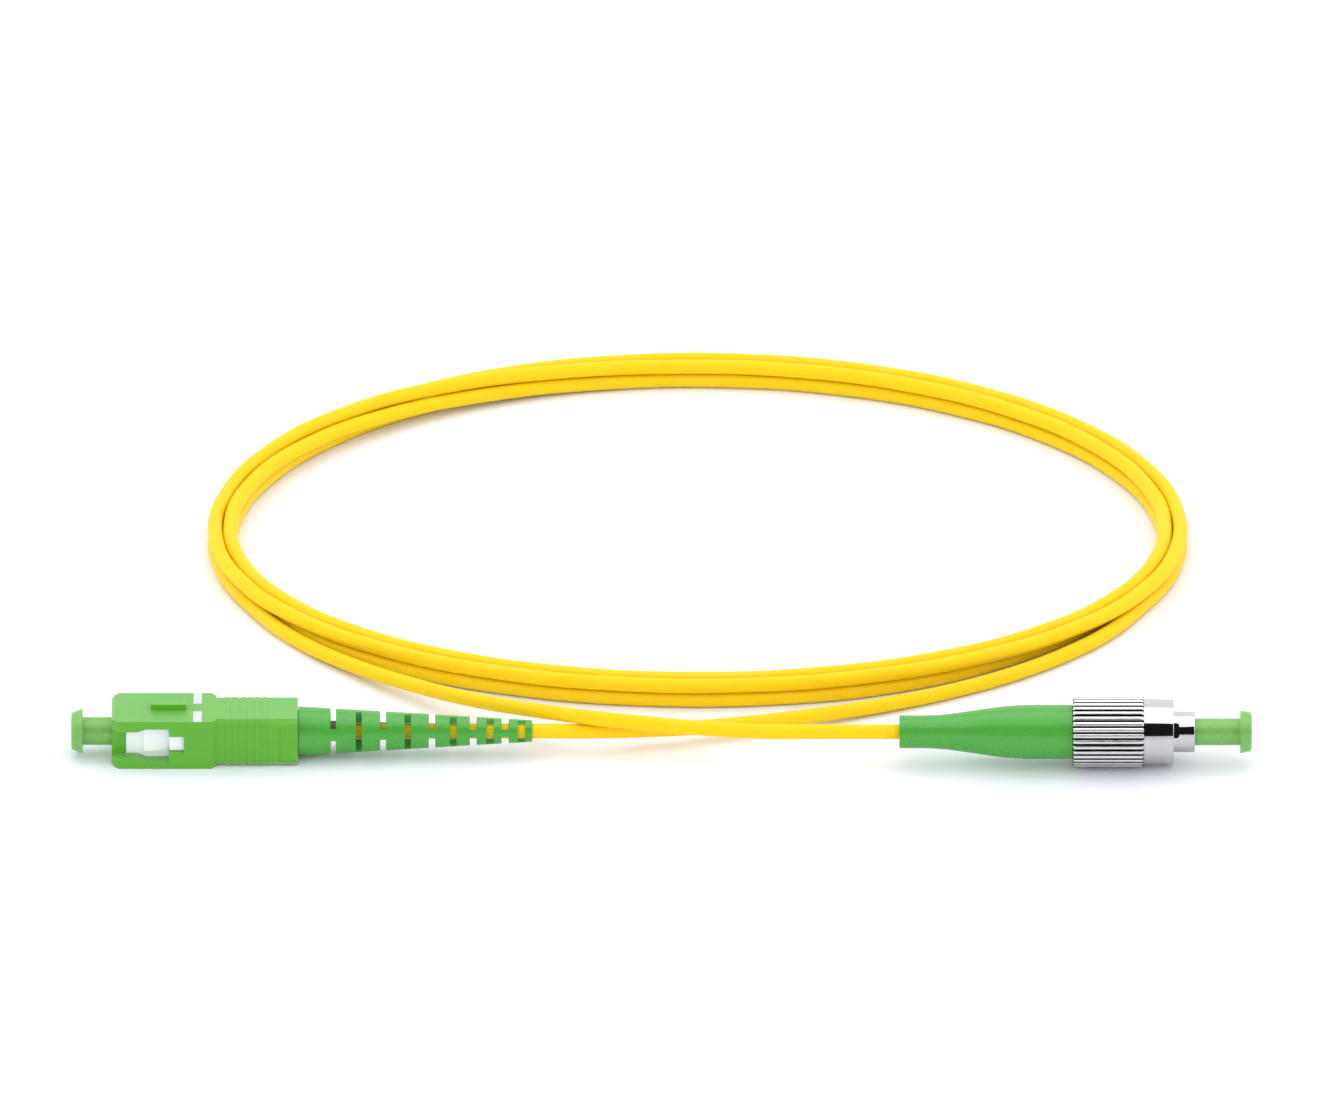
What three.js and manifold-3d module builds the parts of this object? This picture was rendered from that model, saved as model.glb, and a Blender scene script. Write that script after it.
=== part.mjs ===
// Simplex fibre optic patch cord: a square push-pull plug and a round threaded plug, both angle
// polished and under dust caps, joined by one yellow jacketed cable that lies in a flat oval coil.
// Millimetres, +Z up. The origin lies on the resting plane, in the middle of the two plugs' box.
// Inside a plug's group, +X runs from the plug's front face towards its cable.
import * as THREE from "three";
import { mergeVertices } from "three/addons/utils/BufferGeometryUtils.js";
import Module from "manifold-3d";

const wasm = await Module();
wasm.setup();

// ---------------------------------------------------------------- clearances and facets
const GAP = 0.3; // between faces that would touch
const SLIP = 0.1; // between nested pieces that slide or sit in each other
const SEAT = 0.08; // radial, the closer fits round the ferrule and its flange
const CUT = 1; // how far a cutting solid runs past the face that it opens
const SINK = 0.5; // how far a raised part of a solid reaches into the wall it stands on
const ROUND_SIDES = 20;
const FINE_SIDES = 12; // for the fibre, its buffer and the guide tube
const WIRE_SIDES = 6;
const STEPS_PER_COIL = 10;

// ---------------------------------------------------------------- cable and fibre
const JACKET_R = 1.05;
const JACKET_SLACK = 0.15; // radial, in the boots
const BUFFER_R = 0.45;
const TUBE_WALL = 0.12; // of the guide tube round the buffer
const STEM_BORE_R = BUFFER_R + SEAT + TUBE_WALL + SLIP; // the bore that takes the guide tube
const GUIDE_OVERLAP = 2; // how far the guide tube runs into the crimp stem
const YARN_WALL = 0.2;
const SLEEVE_WALL = 0.28;
const SLEEVE_TAIL = 4; // narrow rear part of a crimp sleeve
const FIBER_R = 0.0625;
const JACKET_SIDES = 8;
const TUBE_STEP = 5.2; // length of one straight facet of the free cable

// ---------------------------------------------------------------- ferrules, alike in both plugs
const FERRULE_R = 1.25;
const FERRULE_LENGTH = 10.5;
const FERRULE_FACE_R = FERRULE_R - 0.35;
const FERRULE_CHAMFER = 0.4;
const CAPILLARY_R = 0.14;
const POLISH_ANGLE = THREE.MathUtils.degToRad(8);
const SEAT_DEPTH = 3.5; // how far the ferrule sits in its flange
const FLANGE_HEAD = 1.8;
const COLLAR_R = FERRULE_R + SEAT + 0.27;
const FLANGE_STEM_R = COLLAR_R - 0.5;
const FLANGE_STEM = 2.2;
const FLANGE_BORE_R = FLANGE_STEM_R / 2;
const FERRULE_TRAVEL = 1;
const WIRE_R = 0.2;
const SPRING_R = COLLAR_R + SLIP + 1.3 * WIRE_R; // of the wire's middle line
const SPRING_COILS = 6;

const flangeFront = (tip) => tip + FERRULE_LENGTH - SEAT_DEPTH;
const headEnd = (tip) => flangeFront(tip) + FLANGE_HEAD;
const collarEnd = (tip) => tip + FERRULE_LENGTH + 2 * GAP;
const stemEnd = (tip) => collarEnd(tip) + FLANGE_STEM;

// ---------------------------------------------------------------- dust caps
const CAP_BORE_R = FERRULE_R + 0.05;
const CAP_FLANGE = 1.65;
const CAP_EDGE = 0.15;
const CAP_SLACK = SLIP - 0.015; // radial, between a cap's stem and the mouth it passes

// ---------------------------------------------------------------- square plug
const SC_TIP = -0.8; // ferrule tip
const SC_HEAD_R = COLLAR_R + SLIP + 2.5 * WIRE_R; // ferrule flange
const SC_BORE_R = SC_HEAD_R + SEAT; // inner housing, round the flange and the spring
const SC_CAP_STEM_R = CAP_BORE_R + 0.665;
const SC_CAP = { stemR: SC_CAP_STEM_R, front: -5.75, depth: 5.5, edgeR: 2.62, rimR: 3.2 };

const SC_STEM_R = STEM_BORE_R + 1;
const SC_BACKBONE = {
  front: stemEnd(SC_TIP) + FERRULE_TRAVEL + 1.5,
  r: SC_BORE_R + 0.34,
  flangeR: SC_BORE_R + 0.72,
  flange: 1,
  stemR: SC_STEM_R,
  stem: 6.7,
  jacket: 3, // from the stem's end to the jacket's
};

const SC_FRAME_WIDTH = 2 * (SC_BORE_R + 0.32); // inner housing, in front
const SC_FRAME_REAR_WIDTH = 2 * (SC_BACKBONE.r + 0.48);
const SC_FRAME_HEIGHT = 2 * (SC_BACKBONE.r + 0.38);
const SC_FRAME_STEP = 12.1;
const SC_FRAME_END = SC_BACKBONE.front + 5;
const SC_FRAME_MOUTH = flangeFront(SC_TIP) - 0.2; // where the narrow front bore ends
const SC_FRAME_MOUTH_R = SC_CAP_STEM_R + CAP_SLACK;

const SC_CAVITY_FRONT = SC_FRAME_WIDTH + 2 * SLIP; // outer housing
const SC_CAVITY_REAR = SC_FRAME_REAR_WIDTH + 2 * SLIP;
const SC_CAVITY_HEIGHT = SC_FRAME_HEIGHT + 2 * SLIP;
const SC_WIDTH = SC_CAVITY_REAR + 2 * 1.3;
const SC_HEIGHT = SC_CAVITY_HEIGHT + 2 * 0.6;
const SC_FRONT_LENGTH = 14.07; // the wide part that enters an adapter
const SC_SHOULDER = 0.63; // slope down to the rear grip
const SC_GRIP_LENGTH = 11.5;
const SC_GRIP_WIDTH = SC_WIDTH - 1.2;
const SC_GRIP_HEIGHT = SC_HEIGHT - 0.2;
const SC_GRIP_CHAMFER = 0.6;
const SC_LEAD_IN = 1;
const SC_LEAD_IN_Z = 0.7;
const SC_FACE_PLATE = 2;
const SC_PLATE_HOLE_R = SC_FRAME_MOUTH_R + SLIP;
const SC_TRAVEL = 1.8; // of the outer housing, towards the front

const SC_KEY = { from: 5.55, length: 5, width: 1.7, height: 0.9 };
const SC_RIBS = { from: 1.4, count: 6, pitch: 1.04, thickness: 0.5, width: SC_GRIP_WIDTH + 0.16 };
const SC_WINDOW = { end: 8.07, low: 2.06, wideFrom: 3.6, wideTo: 4.85, top: 2.5, bottom: 2.63 };
const SC_CATCH = {
  from: 4.55,
  crest: 1.1,
  ramp: 0.25,
  width: SC_FRAME_WIDTH + 0.9,
  height: 2 * (SC_WINDOW.low - 0.06),
};
const SC_TONGUE = { from: 8.2, to: SC_FRONT_LENGTH - 2.17, width: SC_GRIP_WIDTH - 0.2 };
const SC_NECK = { end: SC_TONGUE.to - 1.7, top: 1.35, bottom: 1.21 };
const SC_SLOT = { end: SC_TONGUE.to + SC_TRAVEL + 0.2, width: SC_TONGUE.width + 2 * SLIP };

const SC_BOOT_BORE_R = SC_STEM_R + YARN_WALL + SLEEVE_WALL + 3 * SLIP; // round the crimp sleeve
const SC_BOOT_NECK_R = SC_BOOT_BORE_R + 0.42;
const SC_BOOT = { frontR: SC_BOOT_NECK_R + 0.5, endR: JACKET_R + JACKET_SLACK + 0.325, length: 32.7 };
const SC_SLOT_HALF_ANGLE = THREE.MathUtils.degToRad(74);
const SC_SLOT_LEAN = THREE.MathUtils.degToRad(16); // of the whole boot, away from upright
const SC_SLOTS_UP = [0.144, 0.358, 0.569, 0.746, 0.884]; // shares of the boot, cut from above and below
const SC_SLOTS_SIDE = [0.254, 0.465, 0.661, 0.82, 0.954]; // cut from both sides
const SC_SLOT_WIDTH = 0.8;

// ---------------------------------------------------------------- round plug
const FC_TIP = -4.6;
const FC_HEAD_R = SC_HEAD_R + 0.1;
const FC_CAP_STEM_R = CAP_BORE_R + 0.6;
const FC_CAP = { stemR: FC_CAP_STEM_R, front: -8.05, depth: 1.8, edgeR: 2.75, rimR: 3.035 };

const FC_CAVITY_R = FC_HEAD_R + 0.15;
const FC_BARREL_R = FC_CAVITY_R + 0.425;
const FC_BARREL_EDGE = 0.1;
const FC_BARREL_MOUTH_R = FC_CAP_STEM_R + 0.2;
const FC_BARREL_MOUTH = flangeFront(FC_TIP) - GAP;
const FC_BACKBONE = {
  front: stemEnd(FC_TIP) + FERRULE_TRAVEL + 0.9,
  r: FC_CAVITY_R - SLIP,
  flangeR: FC_BARREL_R + 0.025,
  flange: 1.3,
  stemR: STEM_BORE_R + 1.05,
  stem: 7,
  jacket: 1.9,
};
const FC_BARREL_END = FC_BACKBONE.front + 5.9;
const FC_STOP = { from: 8.9, to: 10.1, r: FC_BARREL_R + 0.575 };
const FC_KEY = { from: 2.2, width: 2.15, height: 0.4, angle: THREE.MathUtils.degToRad(30), round: 0.5 };

const FC_THREAD = { crestR: FC_STOP.r + 0.17, depth: 0.36, pitch: 0.75, turns: 8, lead: 0.6 };
const FC_TRAVEL = 3.5; // of the coupling nut, towards the front
const FC_SHOULDER_FRONT = FC_STOP.to + FC_TRAVEL + GAP;
const FC_SHOULDER = 2;
const FC_RING = { front: FC_SHOULDER_FRONT + FC_SHOULDER + GAP, thickness: 0.7, r: FC_STOP.r };
const FC_NUT_FRONT = 3;
const FC_NUT_LIP = 4.2;
const FC_NUT_END = FC_RING.front + FC_RING.thickness + GAP;
const FC_NUT_LIP_R = FC_THREAD.crestR + FC_THREAD.depth + 0.62;
const FC_NUT_R = FC_NUT_LIP_R + 0.375;
const FC_NUT_CHAMFER = 0.4;
const FC_RIDGES = 36;
const FC_RIDGE_DEPTH = 0.33;
const FC_RIDGE_FOOT = 0.3; // half the width of a ridge, as a share of the pitch
const FC_RIDGE_TOP = 0.16;

const FC_BOOT_MOUTH_R = FC_BACKBONE.flangeR + SLIP;
const FC_BOOT_BORE_R = FC_BACKBONE.stemR + YARN_WALL + SLEEVE_WALL + 3 * SLIP;
const FC_BOOT = {
  r: FC_BOOT_MOUTH_R + 0.825,
  cylinder: 8.5,
  cone: 10.2,
  endR: JACKET_R + JACKET_SLACK + 1.12,
  length: 24.1,
};

// ---------------------------------------------------------------- places that follow
const SC_LENGTH = SC_FRONT_LENGTH + SC_SHOULDER + SC_GRIP_LENGTH; // outer housing
const SC_BOOT_FRONT = SC_LENGTH + GAP;
const SC_BOOT_END = SC_BOOT_FRONT + SC_BOOT.length;
const FC_BOOT_FRONT = FC_NUT_END + GAP;
const FC_BOOT_END = FC_BOOT_FRONT + FC_BOOT.length;
const scStemFront = SC_FRAME_END + GAP + SC_BACKBONE.flange;
const fcStemFront = FC_BARREL_END + GAP + FC_BACKBONE.flange;
const scJacketFront = scStemFront + SC_BACKBONE.stem + SC_BACKBONE.jacket;
const fcJacketFront = fcStemFront + FC_BACKBONE.stem + FC_BACKBONE.jacket;

const SC_AXIS = { y: 1.63, z: SC_HEIGHT / 2 };
const FC_AXIS = { y: -1.13, z: FC_NUT_R };
const SC_EXIT_X = -18.2; // where the cable leaves each boot
const FC_EXIT_X = 33.5;

// ---------------------------------------------------------------- coil and free cable
// The bundle's middle line is an ellipse whose two ends are drawn towards the plugs.
const COIL = { x: 5.15, y: 67.6, a: 67.5, b: 50.05, drawn: 2 };
const BUNDLE = 4 * JACKET_R + 2 * SLIP; // two strands wide and two high
const BUNDLE_BEVEL = 0.7;
const COIL_SIDES = 48;
const STRAIGHT_LEAD = 1.5; // the cable is straight this far on both sides of a boot's end
const SC_TAIL = [
  [-15, 1.98, 3.5],
  [-11, 2.6, 3.15],
  [-3, 3.99, 2.6],
  [4, 5.3, 2.3],
  [13.9, 8.1, 1.8],
  [24.5, 11.75, 1.4],
  [32.9, 15.2, 1.15],
  [41.4, 19.3, 1.05],
  [50, 24.5, 1.05],
  [58.4, 31.6, 1.05],
  [63, 36.8, 1.05],
  [67.1, 43.6, 1.05],
];
const FC_TAIL = [
  [22, -1.13, 4.975],
  [13.9, -1.05, 5],
  [4.1, 0, 5.1],
  [-3, 1.15, 5.25],
  [-8, 2.1, 5.3],
  [-11, 2.85, 5.3],
  [-15, 4.7, 4.95],
  [-20, 7.6, 4.25],
  [-26.2, 11.6, 3.4],
  [-34.7, 18.2, 2.35],
  [-43.1, 25.6, 1.55],
  [-51.6, 34.9, 1.05],
  [-57.3, 43.9, 1.05],
];

// ---------------------------------------------------------------- materials
const plastic = (color, roughness = 0.45) =>
  new THREE.MeshStandardMaterial({ color, roughness, metalness: 0 });
const metal = (color, roughness = 0.25) =>
  new THREE.MeshStandardMaterial({ color, roughness, metalness: 1 });
const GREEN = 0x5cb63c;
const BOOT_GREEN = 0x50b446;
const CAP_GREEN = 0x74bd5d;
const WHITE = 0xf2f5f2;
const YELLOW = 0xffdc14;
const NICKEL = 0xd8d8d6;
const STEEL = 0xb9bcc0;
const BRASS = 0xc9a85a;
const ZIRCONIA = 0xf7f6f1;

// ---------------------------------------------------------------- making and cutting solids
/** A closed geometry as a solid that can be joined and cut. */
function solid(geometry) {
  const bare = geometry.index ? geometry.toNonIndexed() : geometry.clone();
  bare.deleteAttribute("normal");
  bare.deleteAttribute("uv");
  const merged = mergeVertices(bare, 1e-4);
  return new wasm.Manifold(
    new wasm.Mesh({
      numProp: 3,
      vertProperties: merged.attributes.position.array,
      triVerts: new Uint32Array(merged.index.array),
    }),
  );
}

/** A solid as a geometry again. */
function geometryOf(shape) {
  const mesh = shape.getMesh();
  const geometry = new THREE.BufferGeometry();
  geometry.setAttribute("position", new THREE.BufferAttribute(mesh.vertProperties, 3));
  geometry.setIndex(new THREE.BufferAttribute(mesh.triVerts, 1));
  geometry.computeVertexNormals();
  return geometry;
}

/** A body turned about the X axis. The outline's [x, radius] points run backwards along the outside. */
function turned(outline, sides = ROUND_SIDES) {
  const points = outline.map(([x, r]) => new THREE.Vector2(r, x));
  return new THREE.LatheGeometry(points, sides).rotateZ(-Math.PI / 2);
}

/** A turned tube: the outside's points from front to back, then the bore's from back to front. */
function turnedTube(outside, bore, sides = ROUND_SIDES) {
  return turned([...outside, ...bore, outside[0]], sides);
}

/** A turned body without a bore. */
function turnedRod(outside, sides = ROUND_SIDES) {
  return turned([[outside[0][0], 0], ...outside, [outside.at(-1)[0], 0]], sides);
}

/** A block between two corners. */
function block([x0, x1], [y0, y1], [z0, z1]) {
  return new THREE.BoxGeometry(x1 - x0, y1 - y0, z1 - z0).translate(
    (x0 + x1) / 2,
    (y0 + y1) / 2,
    (z0 + z1) / 2,
  );
}

function extruded(outline, depth) {
  const shape = new THREE.Shape(outline.map(([a, b]) => new THREE.Vector2(a, b)));
  return new THREE.ExtrudeGeometry(shape, { depth, bevelEnabled: false });
}

/** A prism along X of a (y, z) outline. */
function prismX(outline, x0, x1) {
  const turn = new THREE.Matrix4().makeBasis(
    new THREE.Vector3(0, 1, 0),
    new THREE.Vector3(0, 0, 1),
    new THREE.Vector3(1, 0, 0),
  );
  return extruded(outline, x1 - x0).applyMatrix4(turn).translate(x0, 0, 0);
}

/** A prism along Y of an (x, z) outline. */
function prismY(outline, y0, y1) {
  return extruded(outline, y1 - y0).rotateX(Math.PI / 2).translate(0, y1, 0);
}

/** A prism along Z of an (x, y) outline. */
function prismZ(outline, z0, z1) {
  return extruded(outline, z1 - z0).translate(0, 0, z0);
}

/** A (y, z) rectangle with its corners cut off. */
function octagon(width, height, chamfer) {
  const [y, z] = [width / 2, height / 2];
  return [
    [y, z - chamfer],
    [y - chamfer, z],
    [chamfer - y, z],
    [-y, z - chamfer],
    [-y, chamfer - z],
    [chamfer - y, -z],
    [y - chamfer, -z],
    [y, chamfer - z],
  ];
}

/** The outline of one half, repeated on the other side of the X axis. */
function mirrored(half) {
  return [...half, ...half.map(([x, y]) => [x, -y]).reverse()];
}

/** Both copies of a shape, on the +Y and the -Y side. */
function onBothSides(shape) {
  return shape.add(shape.mirror([0, 1, 0]));
}

function circle(r, sides) {
  const points = [];
  for (let i = 0; i < sides; i++) {
    const angle = (2 * Math.PI * i) / sides;
    points.push(new THREE.Vector2(r * Math.cos(angle), r * Math.sin(angle)));
  }
  return new THREE.Shape(points);
}

function named(name, shape, material) {
  const mesh = new THREE.Mesh(shape.isBufferGeometry ? shape : geometryOf(shape), material);
  mesh.name = name;
  return mesh;
}

// ---------------------------------------------------------------- pieces that both plugs have
/** Zirconia ferrule with its capillary, its tip polished at an angle. */
function ferrule(tip) {
  const end = tip + FERRULE_LENGTH;
  const rod = turnedTube(
    [
      [tip, FERRULE_FACE_R],
      [tip + FERRULE_CHAMFER, FERRULE_R],
      [end - FERRULE_CHAMFER, FERRULE_R],
      [end, FERRULE_FACE_R],
    ],
    [
      [end, CAPILLARY_R],
      [tip, CAPILLARY_R],
    ],
  );
  const lean = FERRULE_FACE_R * Math.tan(POLISH_ANGLE);
  const polish = block([-2 * CUT, 0], [-3 * FERRULE_R, 3 * FERRULE_R], [-3 * FERRULE_R, 3 * FERRULE_R])
    .rotateY(POLISH_ANGLE)
    .translate(tip + lean, 0, 0);
  return solid(rod).subtract(solid(polish));
}

/** Metal flange that holds the ferrule's rear end and takes the spring. */
function ferruleFlange(tip, headR) {
  const seatR = FERRULE_R + SEAT;
  return turnedTube(
    [
      [flangeFront(tip), headR],
      [headEnd(tip), headR],
      [headEnd(tip), COLLAR_R],
      [collarEnd(tip), COLLAR_R],
      [collarEnd(tip), FLANGE_STEM_R],
      [stemEnd(tip), FLANGE_STEM_R],
    ],
    [
      [stemEnd(tip), FLANGE_BORE_R],
      [tip + FERRULE_LENGTH + GAP, FLANGE_BORE_R],
      [tip + FERRULE_LENGTH + GAP, seatR],
      [flangeFront(tip), seatR],
    ],
  );
}

/** Bare glass fibre, from the ferrule's face to the end of the flange. */
function bareFiber(tip) {
  const face = tip + 2 * FERRULE_FACE_R * Math.tan(POLISH_ANGLE);
  return turnedRod(
    [
      [face, FIBER_R],
      [stemEnd(tip) - GAP, FIBER_R],
    ],
    FINE_SIDES,
  );
}

class CoilCurve extends THREE.Curve {
  constructor(x0, x1, r, coils) {
    super();
    Object.assign(this, { x0, x1, r, coils });
  }
  getPoint(t, target = new THREE.Vector3()) {
    const angle = 2 * Math.PI * this.coils * t;
    const x = this.x0 + (this.x1 - this.x0) * t;
    return target.set(x, this.r * Math.cos(angle), this.r * Math.sin(angle));
  }
}

/** Compression spring between the ferrule's flange and the backbone. */
function spring(tip, backboneFront) {
  const edge = GAP + WIRE_R;
  const path = new CoilCurve(headEnd(tip) + edge, backboneFront - edge, SPRING_R, SPRING_COILS);
  return new THREE.ExtrudeGeometry(circle(WIRE_R, WIRE_SIDES), {
    steps: SPRING_COILS * STEPS_PER_COIL,
    bevelEnabled: false,
    extrudePath: path,
  });
}

/** Metal body behind the spring, with the stem that the cable is crimped on. */
function backbone({ front, r, flangeR, flange, stemR, stem }, flangeFrontX) {
  const stemFront = flangeFrontX + flange;
  return turnedTube(
    [
      [front, r],
      [flangeFrontX, r],
      [flangeFrontX, flangeR],
      [stemFront, flangeR],
      [stemFront, stemR],
      [stemFront + stem, stemR],
    ],
    [
      [stemFront + stem, STEM_BORE_R],
      [front, STEM_BORE_R],
    ],
  );
}

const yarnR = (stemR) => stemR + SLIP + YARN_WALL;
const sleeveBoreR = (stemR) => yarnR(stemR) + SLIP;

/** Aramid strength yarn, folded back over the stem. */
function aramidYarn({ stemR, stem }, stemFront) {
  return turnedTube(
    [
      [stemFront + 2 * GAP, yarnR(stemR)],
      [stemFront + stem, yarnR(stemR)],
    ],
    [
      [stemFront + stem, stemR + SLIP],
      [stemFront + 2 * GAP, stemR + SLIP],
    ],
  );
}

/** Crimp sleeve: wide over the stem and its yarn, narrow over the cable's jacket. */
function crimpSleeve({ stemR, stem }, stemFront) {
  const wall = SLEEVE_WALL;
  const bore = sleeveBoreR(stemR);
  const neckBore = JACKET_R + SLIP;
  const step = stemFront + stem + GAP;
  const end = step + SLEEVE_TAIL;
  return turnedTube(
    [
      [stemFront + GAP, bore + wall],
      [step + wall, bore + wall],
      [step + wall, neckBore + wall],
      [end, neckBore + wall],
    ],
    [
      [end, neckBore],
      [step, neckBore],
      [step, bore],
      [stemFront + GAP, bore],
    ],
  );
}

/** Where a boot's wide front bore ends, past the crimp sleeve. */
const bootBoreEnd = ({ stem }, stemFront) => stemFront + stem + GAP + SLEEVE_TAIL + 1;

const guideFront = (tip) => stemEnd(tip) + FERRULE_TRAVEL + GAP;

/** Thin tube that leads the buffered fibre through the backbone. */
function guideTube(tip, stemFront) {
  const outer = STEM_BORE_R - SLIP;
  const back = stemFront + GUIDE_OVERLAP;
  return turnedTube(
    [
      [guideFront(tip), outer],
      [back, outer],
    ],
    [
      [back, outer - TUBE_WALL],
      [guideFront(tip), outer - TUBE_WALL],
    ],
    FINE_SIDES,
  );
}

/** Tight buffer on the fibre, from the flange to the jacket. */
function buffer(tip, jacketFront) {
  return turnedRod(
    [
      [stemEnd(tip) + GAP, BUFFER_R],
      [jacketFront - GAP, BUFFER_R],
    ],
    FINE_SIDES,
  );
}

/** Soft cap that grips the ferrule, with a rim to pull it by. */
function dustCap({ stemR, front, depth, edgeR, rimR }, tip) {
  return turned([
    [front, 0],
    [front, edgeR - 2 * CAP_EDGE],
    [front + CAP_EDGE, edgeR],
    [front + CAP_FLANGE, rimR],
    [front + CAP_FLANGE, stemR],
    [depth, stemR],
    [depth, CAP_BORE_R],
    [tip - GAP, CAP_BORE_R],
    [tip - GAP, 0],
  ]);
}

// ---------------------------------------------------------------- square plug's own pieces
function scOuterHousing() {
  const [w, h] = [SC_WIDTH / 2, SC_HEIGHT / 2];
  const [gw, gh] = [SC_GRIP_WIDTH / 2, SC_GRIP_HEIGHT / 2];
  const slopeEnd = SC_FRONT_LENGTH + SC_SHOULDER;
  const plan = prismZ(
    mirrored([
      [0, w - SC_LEAD_IN],
      [SC_LEAD_IN, w],
      [SC_FRONT_LENGTH, w],
      [slopeEnd, gw],
    ]).reverse(),
    -h,
    h,
  );
  const side = prismY(
    [
      [0, SC_LEAD_IN_Z - h],
      [SC_LEAD_IN, -h],
      [SC_FRONT_LENGTH, -h],
      [slopeEnd, -gh],
      [slopeEnd, gh],
      [SC_FRONT_LENGTH, h],
      [SC_LEAD_IN / 2, h],
      [0, h - SC_LEAD_IN_Z / 2],
    ],
    -w,
    w,
  );
  let shape = solid(plan).intersect(solid(side));
  const grip = prismX(
    octagon(SC_GRIP_WIDTH, SC_GRIP_HEIGHT, SC_GRIP_CHAMFER),
    SC_FRONT_LENGTH - CUT,
    SC_LENGTH,
  );
  shape = shape.add(solid(grip));
  for (let i = 0; i < SC_RIBS.count; i++) {
    const x = slopeEnd + SC_RIBS.from + i * SC_RIBS.pitch;
    const rib = octagon(SC_RIBS.width, SC_HEIGHT, SC_GRIP_CHAMFER);
    shape = shape.add(solid(prismX(rib, x, x + SC_RIBS.thickness)));
  }
  const keyTop = h + SC_KEY.height;
  const key = block(
    [SC_KEY.from, SC_KEY.from + SC_KEY.length],
    [-SC_KEY.width / 2, SC_KEY.width / 2],
    [h - SC_KEY.height / 2, keyTop],
  );
  shape = shape.add(solid(key));

  const cavityEnd = SC_FRAME_END + SC_TRAVEL + 2 * GAP;
  const tall = [-SC_CAVITY_HEIGHT / 2, SC_CAVITY_HEIGHT / 2];
  const cuts = [
    block([SC_FACE_PLATE, SC_WINDOW.end + GAP], [-SC_CAVITY_FRONT / 2, SC_CAVITY_FRONT / 2], tall),
    block([SC_WINDOW.end, cavityEnd], [-SC_CAVITY_REAR / 2, SC_CAVITY_REAR / 2], tall),
    turnedRod([
      [-CUT, SC_PLATE_HOLE_R],
      [SC_FACE_PLATE + CUT, SC_PLATE_HOLE_R],
    ]),
    turnedRod([
      [cavityEnd - CUT, SC_BOOT_NECK_R + SLIP],
      [SC_LENGTH + CUT, SC_BOOT_NECK_R + SLIP],
    ]),
  ];
  for (const cut of cuts) shape = shape.subtract(solid(cut));

  const { end, low, wideFrom, wideTo, top, bottom } = SC_WINDOW;
  const window = prismY(
    [
      [-CUT, -low],
      [wideFrom, -low],
      [wideTo, -bottom],
      [end, -bottom],
      [end, top],
      [wideTo, top],
      [wideFrom, low],
      [-CUT, low],
    ],
    SC_FRAME_WIDTH / 2,
    w + CUT,
  );
  const inner = SC_CAVITY_REAR / 2 - SLIP;
  const neckHeights = [-SC_NECK.bottom, SC_NECK.top];
  const neck = block([end - CUT, Math.max(SC_NECK.end, end)], [inner, w + CUT], neckHeights);
  const slot = block([end - CUT, SC_SLOT.end], [inner, SC_SLOT.width / 2], neckHeights);
  for (const cut of [window, neck, slot]) shape = shape.subtract(onBothSides(solid(cut)));
  return shape;
}

function scInnerHousing() {
  const [w, rw, h] = [SC_FRAME_WIDTH / 2, SC_FRAME_REAR_WIDTH / 2, SC_FRAME_HEIGHT / 2];
  const front = SC_FACE_PLATE + GAP;
  let shape = solid(block([front, SC_FRAME_END], [-w, w], [-h, h]));
  shape = shape.add(solid(block([SC_FRAME_STEP, SC_FRAME_END], [-rw, rw], [-h, h])));
  const crest = SC_CATCH.width / 2;
  const catchOutline = [
    [SC_CATCH.from - SC_CATCH.ramp, w - SINK],
    [SC_WINDOW.end, w - SINK],
    [SC_WINDOW.end, w],
    [SC_CATCH.from + SC_CATCH.crest, crest],
    [SC_CATCH.from, crest],
    [SC_CATCH.from - SC_CATCH.ramp, w],
  ];
  const ridge = prismZ(catchOutline, -SC_CATCH.height / 2, SC_CATCH.height / 2);
  const tongue = block(
    [SC_TONGUE.from, SC_TONGUE.to],
    [w - SINK, SC_TONGUE.width / 2],
    [-SC_NECK.bottom + SLIP, SC_NECK.top - SLIP],
  );
  for (const piece of [ridge, tongue]) shape = shape.add(onBothSides(solid(piece)));
  const bore = turnedRod([
    [front - CUT, SC_FRAME_MOUTH_R],
    [SC_FRAME_MOUTH, SC_FRAME_MOUTH_R],
    [SC_FRAME_MOUTH, SC_BORE_R],
    [SC_BACKBONE.front - GAP, SC_BORE_R],
    [SC_BACKBONE.front - GAP, SC_BACKBONE.r + SLIP],
    [SC_FRAME_END + CUT, SC_BACKBONE.r + SLIP],
  ]);
  return shape.subtract(solid(bore));
}

/** Slotted boot: a cone whose slots, cut by turns from above and below and from the sides, let it bend. */
function scBoot() {
  const { frontR, endR, length } = SC_BOOT;
  const front = SC_BOOT_FRONT;
  const neckFront = scStemFront + GAP + SLEEVE_WALL + SLIP;
  const bore = JACKET_R + JACKET_SLACK;
  const boreFront = bootBoreEnd(SC_BACKBONE, scStemFront);
  let shape = solid(
    turnedTube(
      [
        [neckFront, SC_BOOT_NECK_R],
        [front, SC_BOOT_NECK_R],
        [front, frontR],
        [front + length, endR],
      ],
      [
        [front + length, bore],
        [boreFront, bore],
        [boreFront - GAP, SC_BOOT_BORE_R],
        [neckFront, SC_BOOT_BORE_R],
      ],
    ),
  );
  const reach = frontR + CUT;
  const spread = reach * Math.tan(SC_SLOT_HALF_ANGLE);
  const wedge = [
    [0, 0],
    [spread, reach],
    [-spread, reach],
  ];
  const cutAt = (share, quarterTurns) => {
    const x = front + share * length;
    const cut = prismX(wedge, x - SC_SLOT_WIDTH / 2, x + SC_SLOT_WIDTH / 2);
    shape = shape.subtract(solid(cut.rotateX((quarterTurns * Math.PI) / 2 - SC_SLOT_LEAN)));
  };
  for (const share of SC_SLOTS_UP) for (const turn of [0, 2]) cutAt(share, turn);
  for (const share of SC_SLOTS_SIDE) for (const turn of [1, 3]) cutAt(share, turn);
  return shape;
}

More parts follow.
